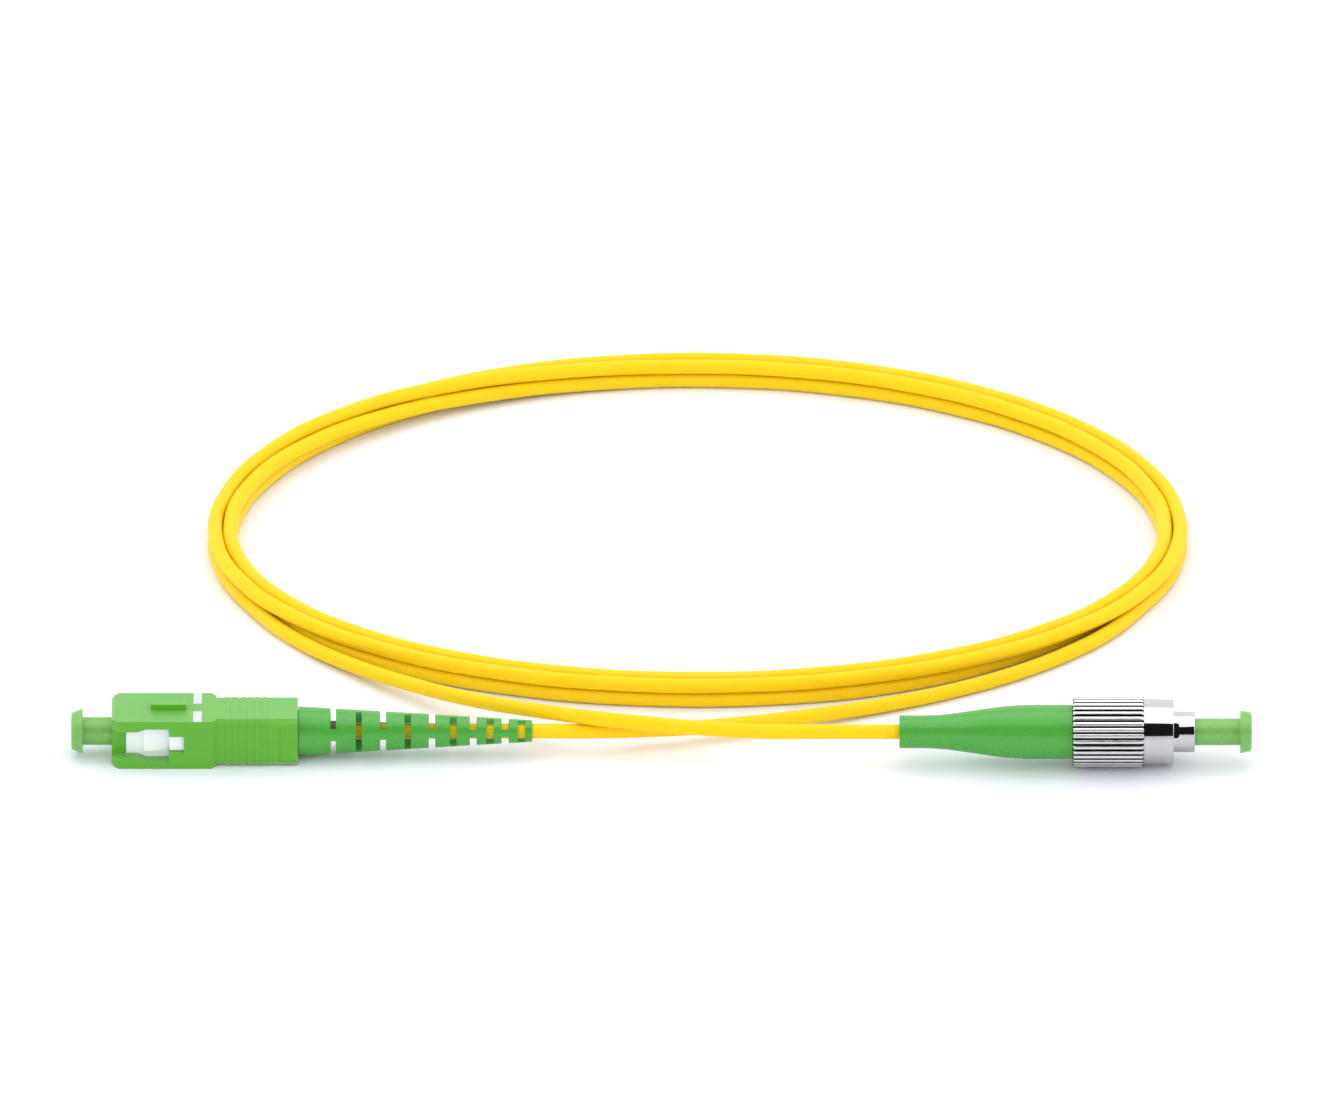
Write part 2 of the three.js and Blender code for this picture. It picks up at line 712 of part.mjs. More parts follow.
// ---------------------------------------------------------------- round plug's own pieces
function fcPlugFrame() {
  const barrel = turnedTube(
    [
      [0, FC_BARREL_R - FC_BARREL_EDGE],
      [FC_BARREL_EDGE, FC_BARREL_R],
      [FC_STOP.from, FC_BARREL_R],
      [FC_STOP.from, FC_STOP.r],
      [FC_STOP.to, FC_STOP.r],
      [FC_STOP.to, FC_BARREL_R],
      [FC_BARREL_END, FC_BARREL_R],
    ],
    [
      [FC_BARREL_END, FC_CAVITY_R],
      [FC_BARREL_MOUTH, FC_CAVITY_R],
      [FC_BARREL_MOUTH, FC_BARREL_MOUTH_R],
      [0, FC_BARREL_MOUTH_R],
    ],
  );
  const { from, width, height, angle, round } = FC_KEY;
  const key = prismZ(
    mirrored([
      [from, width / 2 - round],
      [from + round, width / 2],
      [FC_STOP.from + GAP, width / 2],
    ]).reverse(),
    FC_BARREL_R - SINK / 2,
    FC_BARREL_R + height,
  ).rotateX(angle - Math.PI / 2);
  return solid(barrel).add(solid(key));
}

/** Coupling nut: knurled grip, smooth lip, an internal thread and the shoulder that draws the plug in. */
function fcCouplingNut() {
  const gripFront = FC_NUT_FRONT + FC_NUT_LIP;
  const root = FC_NUT_R - FC_RIDGE_DEPTH;
  const outline = [];
  for (let i = 0; i < FC_RIDGES; i++) {
    const steps = [
      [-FC_RIDGE_FOOT, root],
      [-FC_RIDGE_TOP, FC_NUT_R],
      [FC_RIDGE_TOP, FC_NUT_R],
      [FC_RIDGE_FOOT, root],
    ];
    for (const [share, r] of steps) {
      const angle = (2 * Math.PI * (i + share)) / FC_RIDGES - Math.PI / 2;
      outline.push([r * Math.cos(angle), r * Math.sin(angle)]);
    }
  }
  const ridges = solid(prismX(outline, gripFront, FC_NUT_END));
  const c = FC_NUT_CHAMFER;
  const chamfered = turnedRod([
    [gripFront, FC_NUT_R - c],
    [gripFront + c, FC_NUT_R + SLIP],
    [FC_NUT_END - c, FC_NUT_R + SLIP],
    [FC_NUT_END, FC_NUT_R - c],
  ]);
  const lip = turnedRod(
    [
      [FC_NUT_FRONT, FC_NUT_LIP_R - SLIP],
      [FC_NUT_FRONT + SLIP, FC_NUT_LIP_R],
      [gripFront + CUT, FC_NUT_LIP_R],
    ],
    FC_RIDGES,
  );
  const { crestR, depth, pitch, turns, lead } = FC_THREAD;
  const rootR = crestR + depth;
  const bore = [
    [FC_NUT_FRONT - CUT, rootR],
    [FC_NUT_FRONT, rootR],
    [FC_NUT_FRONT + lead, crestR],
  ];
  for (let i = 0; i < turns; i++) {
    const x = FC_NUT_FRONT + lead + i * pitch;
    bore.push([x + pitch / 2, rootR], [x + pitch, crestR]);
  }
  const shoulderEnd = FC_SHOULDER_FRONT + FC_SHOULDER;
  bore.push(
    [FC_SHOULDER_FRONT, crestR],
    [FC_SHOULDER_FRONT, FC_BARREL_R + SLIP],
    [shoulderEnd, FC_BARREL_R + SLIP],
    [shoulderEnd, FC_RING.r + SLIP],
    [FC_NUT_END + CUT, FC_RING.r + SLIP],
  );
  return ridges.intersect(solid(chamfered)).add(solid(lip)).subtract(solid(turnedRod(bore)));
}

/** Slip ring behind the nut's shoulder: it slides with the nut, which turns against it. */
function fcSlipRing() {
  const { front, thickness, r } = FC_RING;
  const bore = FC_BARREL_R + 1.2 * SLIP;
  return turnedTube(
    [
      [front, r],
      [front + thickness, r],
    ],
    [
      [front + thickness, bore],
      [front, bore],
    ],
  );
}

function fcBoot() {
  const { r, cylinder, cone, endR, length } = FC_BOOT;
  const front = FC_BOOT_FRONT;
  const mouthEnd = fcStemFront + GAP;
  const bore = JACKET_R + JACKET_SLACK;
  const boreFront = bootBoreEnd(FC_BACKBONE, fcStemFront);
  return turnedTube(
    [
      [front, r],
      [front + cylinder, r],
      [front + cylinder + cone, endR],
      [front + length, endR],
    ],
    [
      [front + length, bore],
      [boreFront, bore],
      [boreFront - GAP, FC_BOOT_BORE_R],
      [mouthEnd, FC_BOOT_BORE_R],
      [mouthEnd, FC_BOOT_MOUTH_R],
      [front, FC_BOOT_MOUTH_R],
    ],
  );
}

// ---------------------------------------------------------------- the two plugs
const scPlug = new THREE.Group();
scPlug.position.set(SC_EXIT_X - SC_BOOT_END, SC_AXIS.y, SC_AXIS.z);
scPlug.add(
  named("sc_dust_cap", dustCap(SC_CAP, SC_TIP), plastic(CAP_GREEN, 0.5)),
  named("sc_outer_housing", scOuterHousing(), plastic(GREEN)),
  named("sc_inner_housing", scInnerHousing(), plastic(WHITE)),
  named("sc_ferrule", ferrule(SC_TIP), plastic(ZIRCONIA, 0.15)),
  named("sc_ferrule_flange", ferruleFlange(SC_TIP, SC_HEAD_R), metal(NICKEL)),
  named("sc_bare_fiber", bareFiber(SC_TIP), plastic(WHITE, 0.1)),
  named("sc_spring", spring(SC_TIP, SC_BACKBONE.front), metal(STEEL)),
  named("sc_backbone", backbone(SC_BACKBONE, SC_FRAME_END + GAP), metal(BRASS)),
  named("sc_guide_tube", guideTube(SC_TIP, scStemFront), plastic(WHITE)),
  named("sc_buffer", buffer(SC_TIP, scJacketFront), plastic(WHITE)),
  named("sc_aramid_yarn", aramidYarn(SC_BACKBONE, scStemFront), plastic(YELLOW, 0.9)),
  named("sc_crimp_sleeve", crimpSleeve(SC_BACKBONE, scStemFront), metal(STEEL)),
  named("sc_boot", scBoot(), plastic(BOOT_GREEN, 0.5)),
);

const fcPlug = new THREE.Group();
fcPlug.position.set(FC_EXIT_X + FC_BOOT_END, FC_AXIS.y, FC_AXIS.z);
fcPlug.rotation.z = Math.PI;
fcPlug.add(
  named("fc_dust_cap", dustCap(FC_CAP, FC_TIP), plastic(CAP_GREEN, 0.5)),
  named("fc_plug_frame", fcPlugFrame(), metal(NICKEL, 0.12)),
  named("fc_coupling_nut", fcCouplingNut(), metal(NICKEL, 0.15)),
  named("fc_slip_ring", fcSlipRing(), metal(BRASS)),
  named("fc_ferrule", ferrule(FC_TIP), plastic(ZIRCONIA, 0.15)),
  named("fc_ferrule_flange", ferruleFlange(FC_TIP, FC_HEAD_R), metal(NICKEL)),
  named("fc_bare_fiber", bareFiber(FC_TIP), plastic(WHITE, 0.1)),
  named("fc_spring", spring(FC_TIP, FC_BACKBONE.front), metal(STEEL)),
  named("fc_rear_body", backbone(FC_BACKBONE, FC_BARREL_END + GAP), metal(NICKEL)),
  named("fc_guide_tube", guideTube(FC_TIP, fcStemFront), plastic(WHITE)),
  named("fc_buffer", buffer(FC_TIP, fcJacketFront), plastic(WHITE)),
  named("fc_aramid_yarn", aramidYarn(FC_BACKBONE, fcStemFront), plastic(YELLOW, 0.9)),
  named("fc_crimp_sleeve", crimpSleeve(FC_BACKBONE, fcStemFront), metal(STEEL)),
  named("fc_boot", fcBoot(), plastic(BOOT_GREEN, 0.5)),
);

// ---------------------------------------------------------------- cable
/** A point of the bundle's middle line, moved outwards by a distance along its normal. */
function ovalPoint(angle, outwards) {
  const [c, s] = [Math.cos(angle), Math.sin(angle)];
  const normal = new THREE.Vector2(COIL.b * c + 2 * COIL.drawn * c * s, COIL.a * s).normalize();
  const point = new THREE.Vector2(COIL.a * c, COIL.b * s - COIL.drawn * c * c);
  return point.addScaledVector(normal, outwards);
}

/** The closed outer shape of the coil's turns, grown by a clearance. */
function coilGeometry(grow = 0) {
  const outer = BUNDLE / 2 + grow - BUNDLE_BEVEL;
  const outside = [];
  const inside = [];
  for (let i = 0; i < COIL_SIDES; i++) {
    const angle = (2 * Math.PI * i) / COIL_SIDES;
    outside.push(ovalPoint(angle, outer));
    inside.push(ovalPoint(angle, -outer));
  }
  const shape = new THREE.Shape(outside);
  shape.holes.push(new THREE.Path(inside));
  return new THREE.ExtrudeGeometry(shape, {
    depth: BUNDLE + grow - 2 * BUNDLE_BEVEL,
    bevelThickness: BUNDLE_BEVEL,
    bevelSize: BUNDLE_BEVEL,
    bevelSegments: 1,
  }).translate(COIL.x, COIL.y, BUNDLE_BEVEL);
}

/** The free cable between a boot and the coil. It starts inside the boot, on the plug's axis. */
function cableTail(jacketFrontX, exitX, axis, route) {
  const towardsBoot = Math.sign(jacketFrontX - exitX);
  const lead = towardsBoot * STRAIGHT_LEAD;
  const points = [
    new THREE.Vector3(jacketFrontX, axis.y, axis.z),
    new THREE.Vector3((jacketFrontX + exitX) / 2, axis.y, axis.z),
    new THREE.Vector3(exitX + lead, axis.y, axis.z),
    new THREE.Vector3(exitX - lead, axis.y, axis.z),
    ...route.map((point) => new THREE.Vector3(...point)),
  ];
  const path = new THREE.CatmullRomCurve3(points, false, "centripetal");
  const tube = new THREE.ExtrudeGeometry(circle(JACKET_R, JACKET_SIDES), {
    steps: Math.round(path.getLength() / TUBE_STEP),
    bevelEnabled: false,
    extrudePath: path,
  });
  return solid(tube).subtract(solid(coilGeometry(GAP)));
}

const scJacketX = SC_EXIT_X - SC_BOOT_END + scJacketFront;
const fcJacketX = FC_EXIT_X + FC_BOOT_END - fcJacketFront;
const cable = new THREE.Group();
cable.add(
  named("cable_tail_sc", cableTail(scJacketX, SC_EXIT_X, SC_AXIS, SC_TAIL), plastic(YELLOW, 0.5)),
  named("cable_coil", coilGeometry(), plastic(YELLOW, 0.5)),
  named("cable_tail_fc", cableTail(fcJacketX, FC_EXIT_X, FC_AXIS, FC_TAIL), plastic(YELLOW, 0.5)),
);

const patchCord = new THREE.Group();
patchCord.add(scPlug, fcPlug, cable);

export default patchCord;
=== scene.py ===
import math

import bmesh
import bpy
from mathutils import Matrix, Vector


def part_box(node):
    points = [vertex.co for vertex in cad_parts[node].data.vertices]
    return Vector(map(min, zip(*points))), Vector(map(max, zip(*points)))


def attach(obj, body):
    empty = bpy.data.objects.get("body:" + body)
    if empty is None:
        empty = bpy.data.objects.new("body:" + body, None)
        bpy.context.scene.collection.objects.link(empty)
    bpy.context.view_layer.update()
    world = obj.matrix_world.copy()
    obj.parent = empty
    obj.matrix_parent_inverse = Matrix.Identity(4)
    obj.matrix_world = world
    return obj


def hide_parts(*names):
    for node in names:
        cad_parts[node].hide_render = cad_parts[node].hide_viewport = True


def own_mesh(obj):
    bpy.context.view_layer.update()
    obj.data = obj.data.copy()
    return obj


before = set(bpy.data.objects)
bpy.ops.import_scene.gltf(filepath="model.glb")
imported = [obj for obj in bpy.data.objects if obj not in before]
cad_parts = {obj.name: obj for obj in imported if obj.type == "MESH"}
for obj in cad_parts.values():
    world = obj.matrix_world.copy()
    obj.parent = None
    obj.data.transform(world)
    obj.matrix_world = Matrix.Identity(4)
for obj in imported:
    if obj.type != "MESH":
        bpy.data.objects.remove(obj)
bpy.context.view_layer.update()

MM = 0.001
scene = bpy.context.scene


# ------------------------------------------------------------------ camera
ELEVATION = math.radians(27)
CAMERA_DISTANCE = 6.0
FIELD_WIDTH = 0.1855  # what the image's width covers, at the plugs
SENSOR_WIDTH = 36
AIM = Vector((-0.0004, 0.0134, 0.0263))

camera = bpy.data.objects.new("camera", bpy.data.cameras.new("camera"))
scene.collection.objects.link(camera)
scene.camera = camera
camera.data.sensor_width = SENSOR_WIDTH
camera.data.lens = SENSOR_WIDTH * CAMERA_DISTANCE / FIELD_WIDTH
camera.data.clip_start = 0.1
camera.data.clip_end = 60
towards_camera = Vector((0, -math.cos(ELEVATION), math.sin(ELEVATION)))
camera.location = AIM + CAMERA_DISTANCE * towards_camera
camera.rotation_euler = (math.pi / 2 - ELEVATION, 0, 0)


# ------------------------------------------------------------------ the plugs' own frames
class Plug:
    """Turns a place in a plug, [u, y, z] in millimetres round its axis, into the shared frame."""

    def __init__(self, front_x, axis_y, axis_z, way):
        self.front = Vector((front_x, axis_y, axis_z))
        self.way = way

    def point(self, u, y, z):
        return self.front + MM * Vector((self.way * u, self.way * y, z))


def middle(node):
    low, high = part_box(node)
    return (low + high) / 2


sc_axis = middle("sc_backbone")
fc_axis = middle("fc_rear_body")
SC = Plug(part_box("sc_outer_housing")[0].x, sc_axis.y, sc_axis.z, 1)
FC = Plug(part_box("fc_plug_frame")[1].x, fc_axis.y, fc_axis.z, -1)


def reach(plug, node):
    """The node's first and last u in millimetres."""
    low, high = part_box(node)
    ends = [(low.x - plug.front.x) / MM * plug.way, (high.x - plug.front.x) / MM * plug.way]
    return min(ends), max(ends)


# ------------------------------------------------------------------ the cable
CABLE_D = 2.1
COIL = {"x": 5.15, "y": 67.6, "a": 67.5, "b": 50.05, "drawn": 2}  # an oval, both its ends drawn forward
LANE = 1.07  # from the bundle's middle to a strand's, across and up
COIL_FROM, COIL_TO = -11, 3 * 360 + 190  # degrees round the oval
COIL_STEPS = 84
STEP_OUT = (204, 18)  # a change of lane: from which degree, and over how many
STEP_IN = (285, 45)
MOUTH = 1.5  # how far the straight stretch's last points lie from the boot's end
SC_TAIL = [
    (-15, 1.98, 3.5), (-11, 2.6, 3.15), (-3, 3.99, 2.6), (4, 5.3, 2.3), (13.9, 8.1, 1.8),
    (24.5, 11.75, 1.4), (32.9, 15.2, 1.15), (41.4, 19.3, 1.05), (50, 24.5, 1.05),
    (58.4, 31.6, 1.05), (63, 36.8, 1.05), (67.1, 43.6, 1.05),
]
FC_TAIL = [
    (22, -1.13, 4.975), (13.9, -1.05, 5), (4.1, 0, 5.1), (-3, 1.15, 5.25), (-8, 2.1, 5.3),
    (-11, 2.85, 5.3), (-15, 4.7, 4.95), (-20, 7.6, 4.25), (-26.2, 11.6, 3.4),
    (-34.7, 18.2, 2.35), (-43.1, 25.6, 1.55), (-51.6, 34.9, 1.05), (-57.3, 43.9, 1.05),
]


def ease(t):
    """0 to 1 with a slow start and end."""
    t = max(0.0, min(1.0, t))
    return t * t * (3 - 2 * t)


def changed_lane(degrees, start, span):
    """The share of a change of lane that is behind the strand."""
    return ease((degrees - start) / span)


def coil_point(degrees):
    """A point of the coil. The bundle of turns makes a quarter twist on each far left quarter."""
    lap = math.floor((degrees + 90) / 360)
    twist = ease((degrees - 360 * lap - 90) / 90)
    lane = -45 - 90 * (lap + twist)
    if degrees < 360:  # the first turn steps out where the last one has left, and in again before it ends
        lane += 90 * (changed_lane(degrees, *STEP_OUT) - changed_lane(degrees, *STEP_IN))
    half = LANE * math.sqrt(2)
    lift = half * math.cos(math.radians(45 - 90 * twist))
    across = half * math.cos(math.radians(lane))
    up = max(CABLE_D / 2, CABLE_D / 2 + lift + half * math.sin(math.radians(lane)))
    c, s = math.cos(math.radians(degrees)), math.sin(math.radians(degrees))
    normal = Vector((COIL["b"] * c + 2 * COIL["drawn"] * c * s, COIL["a"] * s)).normalized()
    x = COIL["x"] + COIL["a"] * c + across * normal.x
    y = COIL["y"] + COIL["b"] * s - COIL["drawn"] * c * c + across * normal.y
    return Vector((x, y, up))


def lead(jacket_x, exit_x, axis):
    """The straight stretch from the jacket's end, through the boot, to just outside it."""
    beyond = MOUTH if exit_x > jacket_x else -MOUTH
    xs = (jacket_x, (jacket_x + exit_x) / 2, exit_x - beyond, exit_x + beyond)
    return [Vector((x, axis.y / MM, axis.z / MM)) for x in xs]


sc_exit = Vector((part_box("sc_boot")[1].x, sc_axis.y, sc_axis.z))
fc_exit = Vector((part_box("fc_boot")[0].x, fc_axis.y, fc_axis.z))
route = lead(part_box("cable_tail_sc")[0].x / MM, sc_exit.x / MM, sc_axis)
route += [Vector(p) for p in SC_TAIL]
for step in range(COIL_STEPS + 1):
    route.append(coil_point(COIL_FROM + (COIL_TO - COIL_FROM) * step / COIL_STEPS))
route += [Vector(p) for p in reversed(FC_TAIL)]
route += reversed(lead(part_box("cable_tail_fc")[1].x / MM, fc_exit.x / MM, fc_axis))

curve = bpy.data.curves.new("cable", "CURVE")
curve.dimensions = "3D"
curve.resolution_u = 6
curve.bevel_depth = 1  # times each point's own radius
curve.bevel_resolution = 6
curve.use_fill_caps = True
spline = curve.splines.new("BEZIER")
spline.bezier_points.add(len(route) - 1)
for knot, place in zip(spline.bezier_points, route):
    knot.co = place * MM
    knot.radius = CABLE_D / 2 * MM
    knot.handle_left_type = knot.handle_right_type = "AUTO"
cable = bpy.data.objects.new("cable", curve)
scene.collection.objects.link(cable)
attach(cable, "root")
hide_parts("cable_tail_sc", "cable_coil", "cable_tail_fc")


# ------------------------------------------------------------------ floor and light
def plane(name, size):
    """A square at the floor's height."""
    mesh = bpy.data.meshes.new(name)
    half = size / 2
    corners = [(-half, -half, 0), (half, -half, 0), (half, half, 0), (-half, half, 0)]
    mesh.from_pydata(corners, [], [(0, 1, 2, 3)])
    thing = bpy.data.objects.new(name, mesh)
    scene.collection.objects.link(thing)
    return thing


FLOOR_SIZE = 60
floor = plane("floor", FLOOR_SIZE)

scene.view_settings.view_transform = "Standard"

AMBIENT = 1.28  # what lights the scene; the levels below are only seen mirrored
CARD = (11, 58)  # first and last degree, from the horizon in front over the top to the one behind
CARD_HALF_WIDTH = 0.6
CARD_LEVEL = 0.01
BACK_WALL = (58, 172)
BACK_LEVEL = 1.3
BRIGHT_STRIP = (58, 125)  # the wall's upper part
STRIP_LEVEL = 2.0


def softbox(name, place, aim, size, watts):
    """A rectangular lamp that the camera doesn't see."""
    lamp = bpy.data.lights.new(name, "AREA")
    lamp.shape = "RECTANGLE"
    lamp.size, lamp.size_y = size
    lamp.energy = watts
    thing = bpy.data.objects.new(name, lamp)
    scene.collection.objects.link(thing)
    thing.location = place
    thing.rotation_euler = (Vector(aim) - Vector(place)).to_track_quat("-Z", "Y").to_euler()
    thing.visible_camera = False


softbox("top_light", place=(0, 0.3, 1.1), aim=(0, 0.05, 0), size=(1.0, 0.5), watts=1.2)


def studio_world():
    """Even white light. Reflections also see a black card in front and a brighter wall behind."""
    world = bpy.data.worlds.new("studio")
    scene.world = world
    world.use_nodes = True
    nodes, links = world.node_tree.nodes, world.node_tree.links
    nodes.clear()
    place = nodes.new("ShaderNodeTexCoord")
    split = nodes.new("ShaderNodeSeparateXYZ")
    links.new(place.outputs["Generated"], split.inputs[0])

    def maths(kind, *values):
        node = nodes.new("ShaderNodeMath")
        node.operation = kind
        for socket, value in zip(node.inputs, values):
            if isinstance(value, bpy.types.NodeSocket):
                links.new(value, socket)
            else:
                socket.default_value = value
        return node.outputs[0]

    x, y, z = split.outputs
    height = maths("ARCTAN2", z, maths("MULTIPLY", y, -1.0))  # 0 ahead, a quarter turn overhead

    def between(low, high):
        above = maths("GREATER_THAN", height, math.radians(low))
        return maths("MULTIPLY", above, maths("LESS_THAN", height, math.radians(high)))

    near = maths("LESS_THAN", maths("ABSOLUTE", x), CARD_HALF_WIDTH)
    card = maths("MULTIPLY", between(*CARD), near)
    behind = between(*BACK_WALL)
    strip = between(*BRIGHT_STRIP)
    seen = maths("SUBTRACT", 1.0, maths("MULTIPLY", card, 1 - CARD_LEVEL))
    seen = maths("ADD", seen, maths("MULTIPLY", behind, BACK_LEVEL - 1))
    seen = maths("ADD", seen, maths("MULTIPLY", strip, STRIP_LEVEL - BACK_LEVEL))
    mirrored_ray = nodes.new("ShaderNodeLightPath").outputs["Is Glossy Ray"]
    change = maths("MULTIPLY", maths("SUBTRACT", seen, AMBIENT), mirrored_ray)
    background = nodes.new("ShaderNodeBackground")
    background.inputs["Color"].default_value = (1, 1, 1, 1)
    links.new(maths("ADD", change, AMBIENT), background.inputs["Strength"])
    output = nodes.new("ShaderNodeOutputWorld")
    links.new(background.outputs[0], output.inputs[0])


studio_world()


# ------------------------------------------------------------------ materials
NOISE_SPAN = (0.3, 0.7)  # where nearly all of a noise lies
MARKS_PER_MM = 12  # turning marks on metal


class Look:
    """A procedural material round one Principled shader."""

    def __init__(self, name, **constants):
        self.material = bpy.data.materials.new(name + "_look")
        self.material["slot"] = name
        self.material.use_nodes = True
        self.nodes = self.material.node_tree.nodes
        self.links = self.material.node_tree.links
        self.shader = self.nodes["Principled BSDF"]
        for socket, value in constants.items():
            self.shader.inputs[socket.replace("_", " ")].default_value = value
        self.place = self.nodes.new("ShaderNodeTexCoord").outputs["Object"]

    def noise(self, per_mm, detail, stretch=None):
        """Noise with about per_mm grains to a millimetre."""
        node = self.nodes.new("ShaderNodeTexNoise")
        node.inputs["Scale"].default_value = per_mm / MM
        node.inputs["Detail"].default_value = detail
        place = self.place
        if stretch:
            mapping = self.nodes.new("ShaderNodeMapping")
            mapping.inputs["Scale"].default_value = stretch
            self.links.new(place, mapping.inputs["Vector"])
            place = mapping.outputs[0]
        self.links.new(place, node.inputs["Vector"])
        return node.outputs["Fac"]

    def ramp(self, noise, low, high):
        node = self.nodes.new("ShaderNodeMapRange")
        node.inputs["From Min"].default_value, node.inputs["From Max"].default_value = NOISE_SPAN
        node.inputs["To Min"].default_value = low
        node.inputs["To Max"].default_value = high
        self.links.new(noise, node.inputs["Value"])
        return node.outputs[0]

    def mix(self, source, first, second):
        node = self.nodes.new("ShaderNodeMix")
        node.data_type = "RGBA"
        self.links.new(source, node.inputs["Factor"])
        for socket, value in (("A", first), ("B", second)):
            target = next(s for s in node.inputs if s.name == socket and s.type == "RGBA")
            target.default_value = (*value, 1)
        return next(s for s in node.outputs if s.type == "RGBA")

    def colour(self, source):
        self.links.new(source, self.shader.inputs["Base Color"])

    def roughness(self, source):
        self.links.new(source, self.shader.inputs["Roughness"])

    def bump(self, source, height_mm):
        node = self.nodes.new("ShaderNodeBump")
        node.inputs["Distance"].default_value = height_mm * MM
        node.inputs["Strength"].default_value = 1.0
        self.links.new(source, node.inputs["Height"])
        self.links.new(node.outputs[0], self.shader.inputs["Normal"])


def shade(colour, factor):
    """The colour, darker below 1 and lighter above it."""
    return tuple(min(1.0, c * factor) for c in colour)


def moulded(name, colour, rough, grain=0.004, vary=0.05, **constants):
    """Moulded plastic: a fine eroded grain, with slight cloudiness in colour and gloss."""
    look = Look(name, **constants)
    cloud = look.noise(0.35, 2)
    look.colour(look.mix(cloud, shade(colour, 1 - vary), shade(colour, 1 + vary)))
    look.roughness(look.ramp(look.noise(1.5, 4), rough - 0.05, rough + 0.05))
    look.bump(look.noise(9, 2), grain)
    return look.material


def metal(name, colour, rough, stretch=None, grain=0.002):
    """Plated or drawn metal, with fine turning marks."""
    look = Look(name, Metallic=1.0)
    cloud = look.noise(0.6, 3)
    look.colour(look.mix(cloud, shade(colour, 0.96), shade(colour, 1.03)))
    marks = look.noise(MARKS_PER_MM, 3, stretch)
    look.roughness(look.ramp(marks, rough * 0.75, rough * 1.3))
    look.bump(marks, grain)
    return look.material


HOUSING_GREEN = (0.086, 0.385, 0.011)
BOOT_GREEN = (0.055, 0.345, 0.03)
CAP_GREEN = (0.16, 0.425, 0.078)

housing_look = moulded("housing_green", HOUSING_GREEN, 0.4, Specular_IOR_Level=0.5, Sheen_Weight=1.0,
                       Sheen_Roughness=0.35)
boot_look = moulded("boot_green", BOOT_GREEN, 0.3, grain=0.005, Specular_IOR_Level=0.55,
                    Subsurface_Weight=0.15, Subsurface_Scale=0.0008)
cap_look = moulded("cap_green", CAP_GREEN, 0.3, grain=0.002, Subsurface_Weight=0.3,
                   Subsurface_Scale=0.001, Specular_IOR_Level=0.6)
white_look = moulded("white_plastic", (0.89, 0.92, 0.91), 0.35, vary=0.02, Subsurface_Weight=0.2,
                     Subsurface_Scale=0.0008)
marking_look = moulded("marking_white", (0.6, 0.66, 0.7), 0.5, grain=0.008, vary=0.04)
zirconia_look = moulded("zirconia", (0.93, 0.92, 0.88), 0.12, grain=0.0005, vary=0.01,
                        Subsurface_Weight=0.2, Subsurface_Scale=0.0005)
glass_look = moulded("glass_fiber", (0.9, 0.95, 1.0), 0.08, grain=0.0005, vary=0.01,
                     Transmission_Weight=0.8)
yarn_look = moulded("aramid", (0.85, 0.66, 0.16), 0.8, grain=0.05, vary=0.15, Sheen_Weight=0.4)
nickel_look = metal("nickel", (0.55, 0.55, 0.545), 0.07, grain=0.0006)
knurl_look = metal("nickel", (0.72, 0.72, 0.71), 0.3, stretch=(0.06, 1, 1), grain=0.004)
# painted shade: the near-black metal on the knurl's valley faces stands for the shade between its ridges
valley_painted_shade_look = metal("nickel", (0.035, 0.035, 0.035), 0.45)
brass_look = metal("brass", (0.75, 0.56, 0.28), 0.25, stretch=(8, 1, 1))
steel_look = metal("steel", (0.6, 0.61, 0.63), 0.25)
# painted shade: the crimp metal is darkened to near black for the shade inside the boot, where it shows
# through the slots
crimp_painted_shade_look = metal("crimp_metal", (0.1, 0.1, 0.07), 0.45)


def jacket_material():
    """Extruded jacket: satin, a little cloudy, with faint dents from coiling."""
    look = Look("jacket_yellow", Specular_IOR_Level=0.2, Subsurface_Weight=0.5, Subsurface_Scale=0.0015,
                Subsurface_Radius=(1.0, 0.6, 0.1))
    cloud = look.noise(0.12, 3)
    look.colour(look.mix(cloud, (0.86, 0.575, 0.002), (0.88, 0.61, 0.004)))
    look.roughness(look.ramp(look.noise(1.2, 4), 0.42, 0.54))
    look.bump(look.noise(5, 4), 0.012)
    return look.material


cable.data.materials.append(jacket_material())


def floor_material():
    """Matt and nearly white, with the faintest cloudiness."""
    look = Look("floor", Specular_IOR_Level=0.2)
    look.colour(look.mix(look.noise(0.002, 2), (0.88, 0.895, 0.965), (0.89, 0.905, 0.975)))
    look.roughness(look.ramp(look.noise(0.01, 3), 0.55, 0.65))
    return look.material


floor.data.materials.append(floor_material())


# ------------------------------------------------------------------ modelling kit
LATHE_SIDES = 96
FILLET_STEPS = 4
LONGEST_SETBACK = 0.45  # share of a corner's shorter side
NEARLY_STRAIGHT = 0.02  # radians


def fillet(outline, closed=True):
    """The outline with its corners rounded. A corner's radius stands third in its point."""
    made = []
    count = len(outline)
    for i, point in enumerate(outline):
        here = Vector(point[:2])
        radius = point[2] if len(point) > 2 else 0
        if radius == 0 or (not closed and i in (0, count - 1)):
            made.append(here)
            continue
        before, after = Vector(outline[i - 1][:2]) - here, Vector(outline[(i + 1) % count][:2]) - here
        longest = min(before.length, after.length) * LONGEST_SETBACK
        turn = before.angle(after)
        if turn > math.pi - NEARLY_STRAIGHT:
            made.append(here)
            continue
        setback = min(radius / math.tan(turn / 2), longest)
        start, end = here + before.normalized() * setback, here + after.normalized() * setback
        for step in range(FILLET_STEPS + 1):
            t = step / FILLET_STEPS
            made.append((1 - t) ** 2 * start + 2 * t * (1 - t) * here + t * t * end)
    return made


def to_object(name, work):
    """Ends a bmesh: its faces turned outwards, in an object of its own."""
    mesh = bpy.data.meshes.new(name)
    bmesh.ops.recalc_face_normals(work, faces=work.faces)
    work.to_mesh(mesh)
    work.free()
    thing = bpy.data.objects.new(name, mesh)
    scene.collection.objects.link(thing)
    return thing


